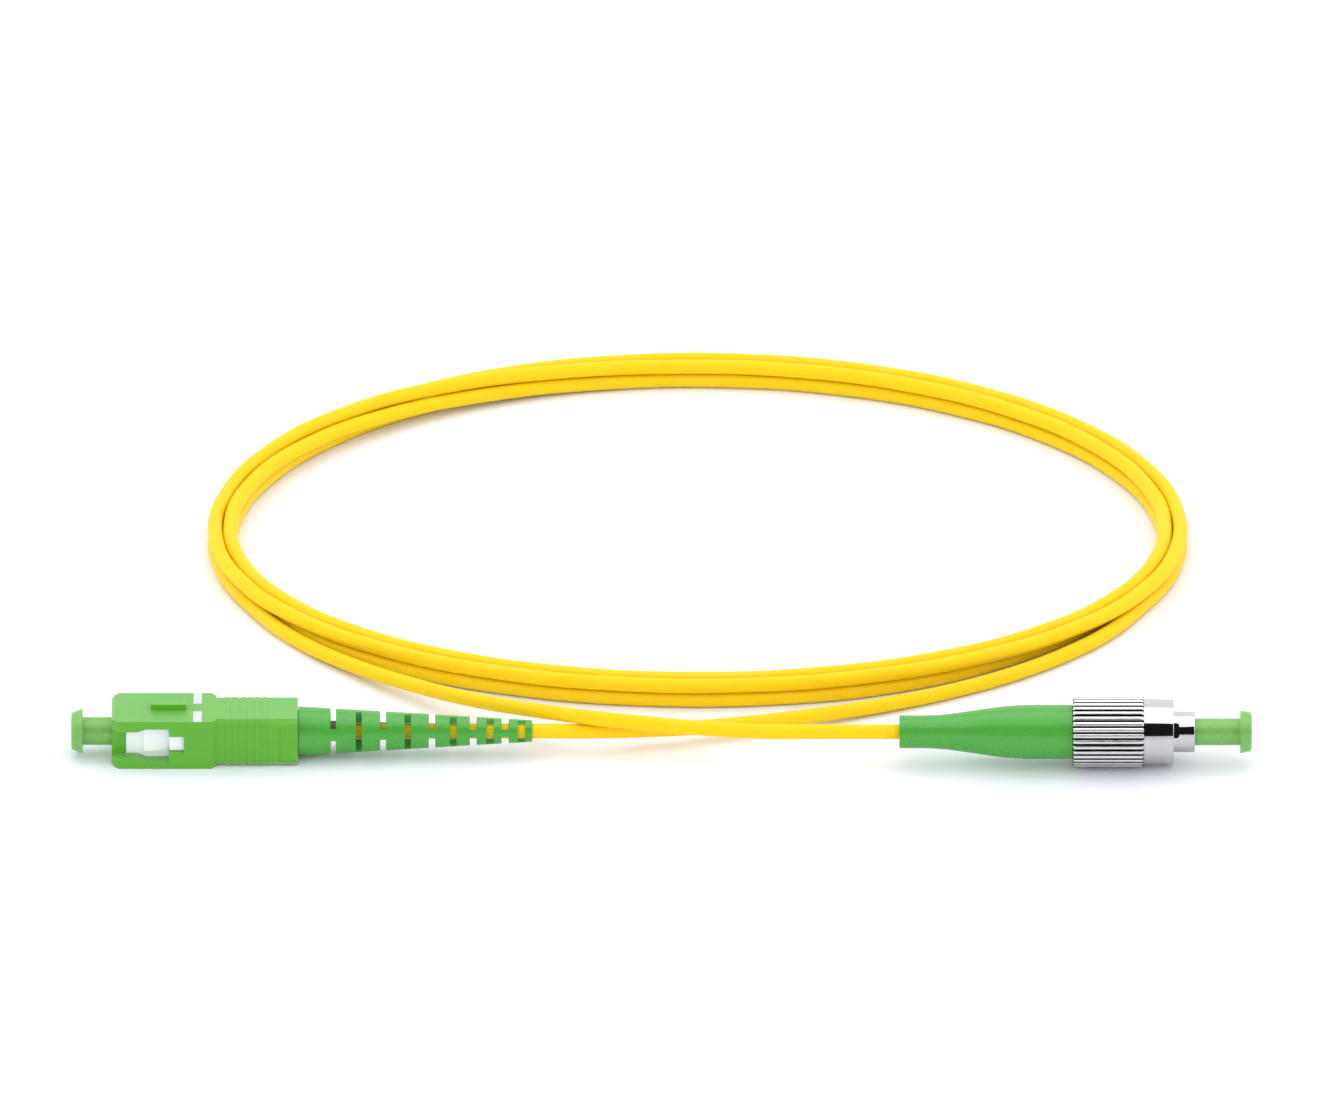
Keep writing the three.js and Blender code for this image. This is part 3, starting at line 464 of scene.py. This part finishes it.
def lathe(name, outline, plug, sides=LATHE_SIDES):
    """A turned solid of [u, r] points. It ends on the axis at both ends, or closes on itself."""
    solid = outline[0][1] == 0 and outline[-1][1] == 0
    points = fillet(outline, closed=not solid)
    work = bmesh.new()
    rings = []
    for u, r in points:
        if r < 1e-9:
            rings.append([work.verts.new(plug.point(u, 0, 0))])
            continue
        ring = []
        for i in range(sides):
            angle = 2 * math.pi * i / sides
            ring.append(work.verts.new(plug.point(u, r * math.cos(angle), r * math.sin(angle))))
        rings.append(ring)
    pairs = list(zip(rings, rings[1:]))
    if not solid:
        pairs.append((rings[-1], rings[0]))
    for one, two in pairs:
        for i in range(sides):
            j = (i + 1) % sides
            corners = [one[i % len(one)], one[j % len(one)], two[j % len(two)], two[i % len(two)]]
            corners = list(dict.fromkeys(corners))
            work.faces.new(corners)
    return to_object(name, work)


def tube(name, outside, bore, plug, sides=LATHE_SIDES):
    return lathe(name, [*outside, *bore], plug, sides)


def prism(name, outline, axis, low, high, plug):
    """A prism of an outline: of (y, z) along u, of (u, z) along y, or of (u, y) along z."""
    def place(a, b, c):
        return plug.point(*{"u": (c, a, b), "y": (a, c, b), "z": (a, b, c)}[axis])

    work = bmesh.new()
    ends = [[work.verts.new(place(a, b, c)) for a, b in outline] for c in (low, high)]
    work.faces.new(ends[0])
    work.faces.new(ends[1])
    for i in range(len(outline)):
        j = (i + 1) % len(outline)
        work.faces.new([ends[0][i], ends[0][j], ends[1][j], ends[1][i]])
    return to_object(name, work)


def block(us, ys, zs, plug):
    """A box between two u, two y and two z."""
    outline = [(us[0], ys[0]), (us[1], ys[0]), (us[1], ys[1]), (us[0], ys[1])]
    return prism("block", outline, "z", zs[0], zs[1], plug)


def applied(thing):
    """Replaces a mesh by what its modifiers make of it."""
    graph = bpy.context.evaluated_depsgraph_get()
    mesh = bpy.data.meshes.new_from_object(thing.evaluated_get(graph))
    thing.modifiers.clear()
    thing.data = mesh
    return thing


def combined(thing, others, operation):
    """Joins others to a mesh, or cuts them out of it, and removes them."""
    for other in others:
        step = thing.modifiers.new("step", "BOOLEAN")
        step.operation = operation
        step.solver = "EXACT"
        step.object = other
    bpy.context.view_layer.update()
    applied(thing)
    for other in others:
        bpy.data.objects.remove(other)


SAME_PLACE = 0.002
FLAT_ENOUGH = math.radians(0.5)


def eased(thing, width, segments=3, angle=32):
    """Rounds the sharp edges by a small bevel."""
    bpy.context.view_layer.update()
    work = bmesh.new()
    work.from_mesh(thing.data)
    bmesh.ops.remove_doubles(work, verts=work.verts, dist=SAME_PLACE * MM)
    bmesh.ops.dissolve_limit(work, angle_limit=FLAT_ENOUGH, verts=work.verts, edges=work.edges)
    work.to_mesh(thing.data)
    work.free()
    step = thing.modifiers.new("edges", "BEVEL")
    step.width = width * MM
    step.segments = segments
    step.limit_method = "ANGLE"
    step.angle_limit = math.radians(angle)
    step.use_clamp_overlap = True
    return applied(thing)


def finished(thing, look, body, replaced=(), sharp=35):
    """Gives a piece its smooth shading, material and body, and hides the CAD nodes it stands in for."""
    mesh = thing.data
    mesh.materials.clear()
    mesh.materials.append(look)
    mesh.polygons.foreach_set("use_smooth", [True] * len(mesh.polygons))
    mesh.set_sharp_from_angle(angle=math.radians(sharp))
    step = thing.modifiers.new("normals", "WEIGHTED_NORMAL")
    step.keep_sharp = True
    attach(thing, body)
    if replaced:
        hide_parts(*replaced)
    return thing


# ------------------------------------------------------------------ dust caps
RIM_LENGTH = 1.65
CAP_BORE_R = 1.3
CAP_CLEARANCE = 0.3  # before the ferrule's tip


def dust_cap(name, plug, body, covered, stem_r, rim_r, edge_r):
    """Hollow stem over the covered ferrule, closed by a rim that widens from edge_r to rim_r."""
    front, depth = reach(plug, name)
    rim_end = front + RIM_LENGTH
    bore_end = reach(plug, covered)[0] - CAP_CLEARANCE
    cap = lathe(
        name + "_moulded",
        [
            (front, 0),
            (front + 0.02, edge_r - 0.45, 0.8),
            (front + 0.16, edge_r, 0.12),
            (rim_end, rim_r, 0.1),
            (rim_end, stem_r + 0.12, 0.12),
            (rim_end + 0.15, stem_r, 0.1),
            (depth, stem_r, 0.15),
            (depth, CAP_BORE_R, 0.1),
            (bore_end, CAP_BORE_R, 0.2),
            (bore_end, 0),
        ],
        plug,
    )
    finished(cap, cap_look, body, (name,))


dust_cap("sc_dust_cap", SC, "sc_cap", "sc_ferrule", stem_r=1.965, rim_r=3.2, edge_r=2.62)
dust_cap("fc_dust_cap", FC, "fc_cap", "fc_ferrule", stem_r=1.9, rim_r=3.035, edge_r=2.75)


# ------------------------------------------------------------------ ferrules
FERRULE_R, FERRULE_BORE_R = 1.25, 0.14
POLISH_ANGLE = math.radians(8)
SET_BACK = 0.13  # how far the leaning face's middle lies behind the ferrule's tip


def ferrule(name, plug, body):
    """Ground zirconia ferrule: chamfered, its face leaning by the polish angle."""
    tip, end = reach(plug, name)
    rod = tube(
        name + "_ground",
        [(tip, 0.9, 0.1), (tip + 0.4, FERRULE_R, 0.15), (end - 0.3, FERRULE_R, 0.1), (end, 0.95, 0.1)],
        [(end, FERRULE_BORE_R), (tip, FERRULE_BORE_R)],
        plug,
        sides=64,
    )
    lean = math.tan(POLISH_ANGLE)
    for vertex in rod.data.vertices:
        offset = (vertex.co - plug.front) / MM
        if offset.x * plug.way < tip + 0.2:
            vertex.co.x += plug.way * MM * (SET_BACK - lean * offset.z)
    finished(rod, zirconia_look, body, (name,))


ferrule("sc_ferrule", SC, "sc_fiber_end")
ferrule("fc_ferrule", FC, "fc_fiber_end")


# ------------------------------------------------------------------ square plug
BLOCK_W, BLOCK_H, BLOCK_END = 4.5, 3.7, 14.07  # half width, half height and end of the front block
GRIP_W, GRIP_H, GRIP_CHAMFER = 3.9, 3.6, 0.6
SLOPE = 0.63  # length of the step down from the block to the grip
LEAD_IN = 1.0  # chamfer of the block's sides at the front
RIBS, RIB_PITCH, RIB_LENGTH = 6, 1.04, 0.52
RIB_W, RIB_H, FIRST_RIB = 3.98, 3.65, 16.1
WINDOW_END = 8.07
WINDOW = [
    (-1, -2.06), (3.6, -2.06), (4.85, -2.63), (WINDOW_END, -2.63),
    (WINDOW_END, 2.5), (4.85, 2.5), (3.6, 2.06), (-1, 2.06),
]
NECK_Z = (-1.21, 1.35)  # the slots that run back from the windows
KEY = ((5.55, 10.55), (-0.85, 0.85), (3.0, 4.6))  # on the top
CAVITY_END = 22.4
FRONT_CAVITY = ((2, 8.37), (-2.7, 2.7), (-3.1, 3.1))
BACK_CAVITY = ((WINDOW_END, CAVITY_END), (-3.2, 3.2), (-3.1, 3.1))
MOUTH_HOLE_R = 2.15
BACK_BORE_R = 3.05
PAST = 1  # how far a cutter reaches past what it cuts


def octagon(w, h, c):
    """A rectangle of half sizes w and h with its corners cut off by c."""
    return [
        (w, h - c), (w - c, h), (c - w, h), (-w, h - c),
        (-w, c - h), (c - w, -h), (w - c, -h), (w, c - h),
    ]


def mirrored(half):
    """The outline of (u, y) points, with the same on the other side."""
    return [*half, *((u, -y) for u, y in reversed(half))]


def housing_block():
    """The front block: its outline from above, cut to its outline from the side."""
    slope_end = BLOCK_END + SLOPE
    body = prism(
        "sc_housing_shell",
        mirrored([(0, BLOCK_W - LEAD_IN), (LEAD_IN, BLOCK_W), (BLOCK_END, BLOCK_W), (slope_end, GRIP_W)]),
        "z", -BLOCK_H, BLOCK_H, SC,
    )
    side = prism(
        "side",
        [
            (0, 0.45 - BLOCK_H), (0.45, -BLOCK_H), (BLOCK_END, -BLOCK_H), (slope_end, -GRIP_H),
            (slope_end, GRIP_H), (BLOCK_END, BLOCK_H), (0.4, BLOCK_H), (0, BLOCK_H - 0.3),
        ],
        "y", -BLOCK_W - PAST, BLOCK_W + PAST, SC,
    )
    combined(body, [side], "INTERSECT")
    return body


def outer_housing():
    """The front block and the ribbed grip with their key, cavity, windows and side recesses."""
    length = reach(SC, "sc_outer_housing")[1]
    body = housing_block()
    grip = prism("grip", octagon(GRIP_W, GRIP_H, GRIP_CHAMFER), "u", 13, length, SC)
    key = block(*KEY, SC)
    ribs = []
    for i in range(RIBS):
        u = FIRST_RIB + RIB_PITCH * i
        ribs.append(prism("rib", octagon(RIB_W, RIB_H, GRIP_CHAMFER), "u", u, u + RIB_LENGTH, SC))
    combined(body, [grip, key, *ribs], "UNION")
    start, end = CAVITY_END - PAST, length + PAST  # of the bore behind the cavity
    cuts = [
        block(*FRONT_CAVITY, SC),
        block(*BACK_CAVITY, SC),
        lathe("hole", [(-PAST, 0), (-PAST, MOUTH_HOLE_R), (3, MOUTH_HOLE_R), (3, 0)], SC),
        lathe("bore", [(start, 0), (start, BACK_BORE_R), (end, BACK_BORE_R), (end, 0)], SC),
    ]
    for way in (1, -1):
        cuts.append(prism("window", WINDOW, "y", *sorted((2.6 * way, 5.5 * way)), SC))
        cuts.append(block((7, 10.2), sorted((3.1 * way, 5.5 * way)), NECK_Z, SC))
        cuts.append(block((7, 13.9), sorted((3.1 * way, 3.9 * way)), NECK_Z, SC))
        cuts.append(block((23.6, length + PAST), sorted((3.78 * way, 5.5 * way)), (-2.87, 2.4), SC))
    combined(body, cuts, "DIFFERENCE")
    eased(body, 0.07)
    finished(body, housing_look, "sc_grip", ("sc_outer_housing",))


def inner_housing():
    """The white frame inside: a sloped catch in each window, a neck behind it, and the ferrule's bore."""
    end = reach(SC, "sc_inner_housing")[1]
    body = block((2.04, end), (-2.6, 2.6), (-3, 3), SC)
    body.name = "sc_inner_frame"
    adds = [block((12.1, end), (-3.1, 3.1), (-3, 3), SC)]
    for way in (1, -1):
        ridge = [(4.3, 2.1), (WINDOW_END, 2.1), (WINDOW_END, 2.6), (5.65, 3.15), (4.55, 3.15), (4.4, 2.6)]
        adds.append(prism("ridge", [(u, y * way) for u, y in ridge], "z", -1.6, 2, SC))
        adds.append(block((8.2, 11.9), sorted((2.1 * way, 3.8 * way)), (-1.11, 1.25), SC))
    combined(body, adds, "UNION")
    bore = lathe(
        "bore",
        [
            (1, 0), (1, 2.05), (6, 2.05), (6, 2.28),
            (14.7, 2.28), (14.7, 2.72), (end + PAST, 2.72), (end + PAST, 0),
        ],
        SC,
    )
    combined(body, [bore], "DIFFERENCE")
    eased(body, 0.1)
    finished(body, white_look, "root", ("sc_inner_housing",))


MARK_U = (11.5, 12.7)
MARK_Y = (1.2, 4.42)  # either side of the middle
MARK_Z = (3.69, 3.715)  # a little proud of the top


def markings():
    """The two white printed bars across the top of the housing."""
    for number, way in enumerate((-1, 1)):
        bar = block(MARK_U, sorted(way * y for y in MARK_Y), MARK_Z, SC)
        bar.name = f"sc_marking_{number + 1}"
        finished(eased(bar, 0.008, 2), marking_look, "sc_grip")


SLOTS_UP = (4.7, 11.7, 18.6, 24.4, 28.9)  # each slot's middle, measured from SLOTS_START
SLOTS_SIDE = (8.3, 15.2, 21.6, 26.8, 31.2)
SLOTS_START = 0.22  # behind the boot's shoulder
SLOT_DEPTH = 5  # the wedge reaches past the boot's surface
SLOT_HALF_ANGLE = 74
SLOT_HALF_LENGTH, SLOT_WIDENING = 0.36, 0.005  # the second is per millimetre towards the cable
BOOT_ROLL = 16  # degrees, the boot's slots lean away from upright
BOOT_BORE_R = 1.2  # both boots', round the cable
SHOULDER_GAP = 0.08  # from the housing's end to the boot's shoulder
NECK_R, SHOULDER_R, BOOT_END_R = 2.95, 3.47, 1.525
CRIMP_BORE_R = 2.52


def slotted_boot():
    """A cone whose wedge slots leave two bridges each, a quarter turn on from one to the next."""
    front = reach(SC, "sc_outer_housing")[1] + SHOULDER_GAP
    neck, end = reach(SC, "sc_boot")
    boot = tube(
        "sc_boot_moulded",
        [(neck, NECK_R, 0.2), (front, NECK_R, 0), (front, SHOULDER_R, 0.06), (end, BOOT_END_R, 0.15)],
        [
            (end, BOOT_BORE_R, 0.1), (front + 7, BOOT_BORE_R, 0),
            (front + 6.7, CRIMP_BORE_R, 0), (neck, CRIMP_BORE_R, 0.1),
        ],
        SC,
    )
    spread = SLOT_DEPTH * math.tan(math.radians(SLOT_HALF_ANGLE))
    wedge = ((0, 0), (spread, SLOT_DEPTH), (-spread, SLOT_DEPTH))
    cutters = []
    for offsets, turns in ((SLOTS_UP, (0, 2)), (SLOTS_SIDE, (1, 3))):
        for offset in offsets:
            half = SLOT_HALF_LENGTH + SLOT_WIDENING * offset
            u = front + (offset + SLOTS_START)
            for turn in turns:
                angle = turn * math.pi / 2 - math.radians(BOOT_ROLL)
                c, s = math.cos(angle), math.sin(angle)
                rolled = [(y * c - z * s, y * s + z * c) for y, z in wedge]
                cutters.append(prism("slot", rolled, "u", u - half, u + half, SC))
    combined(boot, cutters, "DIFFERENCE")
    eased(boot, 0.07, 2)
    finished(boot, boot_look, "root", ("sc_boot",))


outer_housing()
inner_housing()
markings()
slotted_boot()


# ------------------------------------------------------------------ round plug
RIDGES, SIDES_PER_RIDGE = 36, 16
NUT_SIDES = RIDGES * SIDES_PER_RIDGE
RIDGE_R, VALLEY_R, LIP_R, NUT_END_R = 4.975, 4.5, 4.6, 4.35
LIP_LENGTH = 4.2
RIDGE_TOP, RIDGE_FOOT = 0.6, 0.88  # where a ridge's flank starts and ends, in shares of half the pitch
CROWN = 0.08  # how far a ridge's top falls off towards its flanks
ROUNDING, ROUNDING_LENGTH = 0.42, 0.378  # of the ridges' ends, across and along
ROUNDING_STEPS = 4
THREAD_CREST_R, THREAD_ROOT_R = 3.6, 3.98
THREAD_PITCH, THREAD_TURNS, THREAD_START = 0.75, 8, 0.6


def ridge_radius(share):
    """The knurl's radius, with 0 at a ridge's middle and 1 half a pitch away."""
    away = abs(share)
    if away <= RIDGE_TOP:
        return RIDGE_R - CROWN * (away / RIDGE_TOP) ** 2
    edge = RIDGE_R - CROWN
    return edge - (edge - VALLEY_R) * ease((away - RIDGE_TOP) / (RIDGE_FOOT - RIDGE_TOP))


def grip_stations(grip, end):
    """(u, r) along a ridge: a quarter round up at the front, and the same down at the back."""
    rise = []
    for step in range(ROUNDING_STEPS + 1):
        a = math.pi / 2 * step / ROUNDING_STEPS
        u = grip + ROUNDING_LENGTH * (1 - math.cos(a))
        rise.append((u, RIDGE_R - ROUNDING * (1 - math.sin(a))))
    return rise + [(end - (u - grip), r) for u, r in reversed(rise)]


def nut_bore(front, end):
    """(u, r) from the back of the nut's bore to its mouth, over the shoulder and through the thread."""
    bore = [(end, 3.6), (end - 1.2, 3.6), (end - 1.2, 3.0), (end - 3.3, 3.0), (end - 3.3, 3.62)]
    for i in range(THREAD_TURNS, -1, -1):
        u = front + THREAD_START + THREAD_PITCH * i
        bore.append((u, THREAD_CREST_R))
        if i:
            bore.append((u - THREAD_PITCH / 2, THREAD_ROOT_R))
    bore.append((front, THREAD_ROOT_R))
    return bore


def coupling_nut():
    """Knurled nut: straight ridges with eased ends, a smooth lip, and the thread inside."""
    front, end = reach(FC, "fc_coupling_nut")
    grip = front + LIP_LENGTH
    work = bmesh.new()
    rings = []

    def ring(u, radius, ridged=False):
        made = []
        for i in range(NUT_SIDES):
            share = (i % SIDES_PER_RIDGE) / SIDES_PER_RIDGE * 2 - 1
            angle = 2 * math.pi * (i + SIDES_PER_RIDGE / 2) / NUT_SIDES - math.pi / 2
            r = min(radius, ridge_radius(share)) if ridged else radius
            made.append(work.verts.new(FC.point(u, r * math.cos(angle), r * math.sin(angle))))
        rings.append(made)

    for u, r in ((front, LIP_R - 0.1), (front + 0.03, LIP_R - 0.04), (front + 0.1, LIP_R)):
        ring(u, r)
    ring(grip - 0.02, LIP_R)
    ring(grip, LIP_R - 0.04)
    grip_start = len(rings) - 1
    for u, r in grip_stations(grip, end):
        ring(u, r, ridged=True)
    ring(end, NUT_END_R)
    grip_end = len(rings) - 1
    for u, r in nut_bore(front, end):
        ring(u, r)
    rings.append(rings[0])
    for number, (one, two) in enumerate(zip(rings, rings[1:])):
        for i in range(NUT_SIDES):
            j = (i + 1) % NUT_SIDES
            face = work.faces.new([one[i], one[j], two[j], two[i]])
            if grip_start <= number < grip_end:
                away = abs((i % SIDES_PER_RIDGE + 0.5) / SIDES_PER_RIDGE * 2 - 1)
                # faces off a ridge's top get the near-black material, painted shade in the valleys
                face.material_index = 1 if away < RIDGE_TOP else 2
    nut = to_object("fc_nut_turned", work)
    grip_faces = [face.material_index for face in nut.data.polygons]
    finished(nut, nickel_look, "fc_nut", ("fc_coupling_nut",), sharp=40)
    nut.data.materials.append(knurl_look)
    nut.data.materials.append(valley_painted_shade_look)
    nut.data.polygons.foreach_set("material_index", grip_faces)


BARREL_R, STOP_R = 2.875, 3.45
STOP = (8.9, 10.1)
BARREL_KEY = (2.2, 9.2)
KEY_HALF_WIDTH, KEY_FOOT, KEY_TOP = 1.075, 2.5, 3.27
KEY_TURN = math.radians(60)


def barrel():
    """The round plug's frame: a tube with a stop flange and, along its side, a key."""
    end = reach(FC, "fc_plug_frame")[1]
    outside = [
        (0, 2.8, 0.1), (0.12, BARREL_R, 0.1), (STOP[0], BARREL_R, 0), (STOP[0], STOP_R, 0.05),
        (STOP[1], STOP_R, 0.05), (STOP[1], BARREL_R, 0), (end, BARREL_R, 0.1),
    ]
    bore = [(end, 2.45, 0.05), (2.1, 2.45, 0), (2.1, 2.1, 0), (0, 2.1, 0.1)]
    frame_tube = tube("fc_barrel", outside, bore, FC)
    start, stop = BARREL_KEY
    half = KEY_HALF_WIDTH
    key_outline = fillet([(start, -half, 0.5), (stop, -half, 0), (stop, half, 0), (start, half, 0.5)])
    key = prism("key", key_outline, "z", KEY_FOOT, KEY_TOP, FC)
    turn = Matrix.Rotation(KEY_TURN, 4, "X")
    key.data.transform(Matrix.Translation(FC.front) @ turn @ Matrix.Translation(-FC.front))
    combined(frame_tube, [key], "UNION")
    eased(frame_tube, 0.05, 2, angle=50)
    finished(frame_tube, nickel_look, "root", ("fc_plug_frame",))


SWELL_R, MOUTH_R = 3.825, 2.32
SWELL_BEND = 45  # radius of the two long bends between them
GAP_CLOSED = 0.28  # nearly all of what the CAD solids keep between touching pieces


def smooth_boot():
    """One soft cone that swells from the cable's mouth to the nut."""
    front, end = reach(FC, "fc_boot")
    front -= GAP_CLOSED
    outside = [
        (front, SWELL_R, 0.12), (front + 8.5, SWELL_R, SWELL_BEND),
        (front + 18.7, MOUTH_R, SWELL_BEND), (end, MOUTH_R, 0.12),
    ]
    bore = [
        (end, BOOT_BORE_R, 0.12), (front + 12.7, BOOT_BORE_R, 0), (front + 12.4, 2.5, 0),
        (front + 1, 2.5, 0), (front + 1, 3.0, 0), (front, 3.0, 0.1),
    ]
    finished(tube("fc_boot_moulded", outside, bore, FC), boot_look, "root", ("fc_boot",))


coupling_nut()
barrel()
smooth_boot()


# ------------------------------------------------------------------ springs and buffers
WIRE_R, WIRE_SIDES = 0.2, 12
SPRING_TURNS, STEPS_PER_TURN = 6, 36


def gives_way(piece, node, plug):
    """Gives the piece a mesh of its own."""
    front, rear = reach(plug, node)
    anchor = tuple(plug.point(rear, 0, 0))
    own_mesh(piece)


def outer_radius(node):
    """In millimetres, of a CAD node that is round about its plug's axis."""
    low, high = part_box(node)
    return (high.y - low.y) / MM / 2


def spring(node, plug):
    """Compression spring of round wire round the plug's axis."""
    front, rear = reach(plug, node)
    middle_r = outer_radius(node) - WIRE_R
    work = bmesh.new()
    rings = []
    steps = SPRING_TURNS * STEPS_PER_TURN
    for step in range(steps + 1):
        share = step / steps
        angle = 2 * math.pi * SPRING_TURNS * share
        ring = []
        for i in range(WIRE_SIDES):
            around = 2 * math.pi * i / WIRE_SIDES
            u = front + WIRE_R + (rear - front - 2 * WIRE_R) * share + WIRE_R * math.sin(around)
            r = middle_r + WIRE_R * math.cos(around)
            ring.append(work.verts.new(plug.point(u, r * math.cos(angle), r * math.sin(angle))))
        rings.append(ring)
    for one, two in zip(rings, rings[1:]):
        for i in range(WIRE_SIDES):
            j = (i + 1) % WIRE_SIDES
            work.faces.new([one[i], one[j], two[j], two[i]])
    work.faces.new(rings[0])
    work.faces.new(rings[-1])
    piece = finished(to_object(node + "_wound", work), steel_look, "root", (node,))
    gives_way(piece, node, plug)


def buffer(node, plug):
    """The tight buffer behind the flange: a plain round strand."""
    front, rear = reach(plug, node)
    r = outer_radius(node)
    outline = [(front, 0), (front, r, 0.06), (rear, r, 0.06), (rear, 0)]
    piece = lathe(node + "_drawn", outline, plug, sides=24)
    gives_way(finished(piece, white_look, "root", (node,)), node, plug)


for prefix, plug in (("sc", SC), ("fc", FC)):
    spring(prefix + "_spring", plug)
    buffer(prefix + "_buffer", plug)


# ------------------------------------------------------------------ CAD nodes that stay
KEPT = {
    "sc_ferrule_flange": nickel_look, "fc_ferrule_flange": nickel_look, "fc_rear_body": nickel_look,
    "sc_bare_fiber": glass_look, "fc_bare_fiber": glass_look,
    "sc_backbone": brass_look, "fc_slip_ring": brass_look,
    "sc_guide_tube": white_look, "fc_guide_tube": white_look,
    "sc_aramid_yarn": yarn_look, "fc_aramid_yarn": yarn_look,
    "sc_crimp_sleeve": crimp_painted_shade_look, "fc_crimp_sleeve": crimp_painted_shade_look,
}
for node, look in KEPT.items():
    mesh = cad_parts[node].data
    mesh.materials.clear()
    mesh.materials.append(look)


# ------------------------------------------------------------------ the end
bpy.context.view_layer.update()
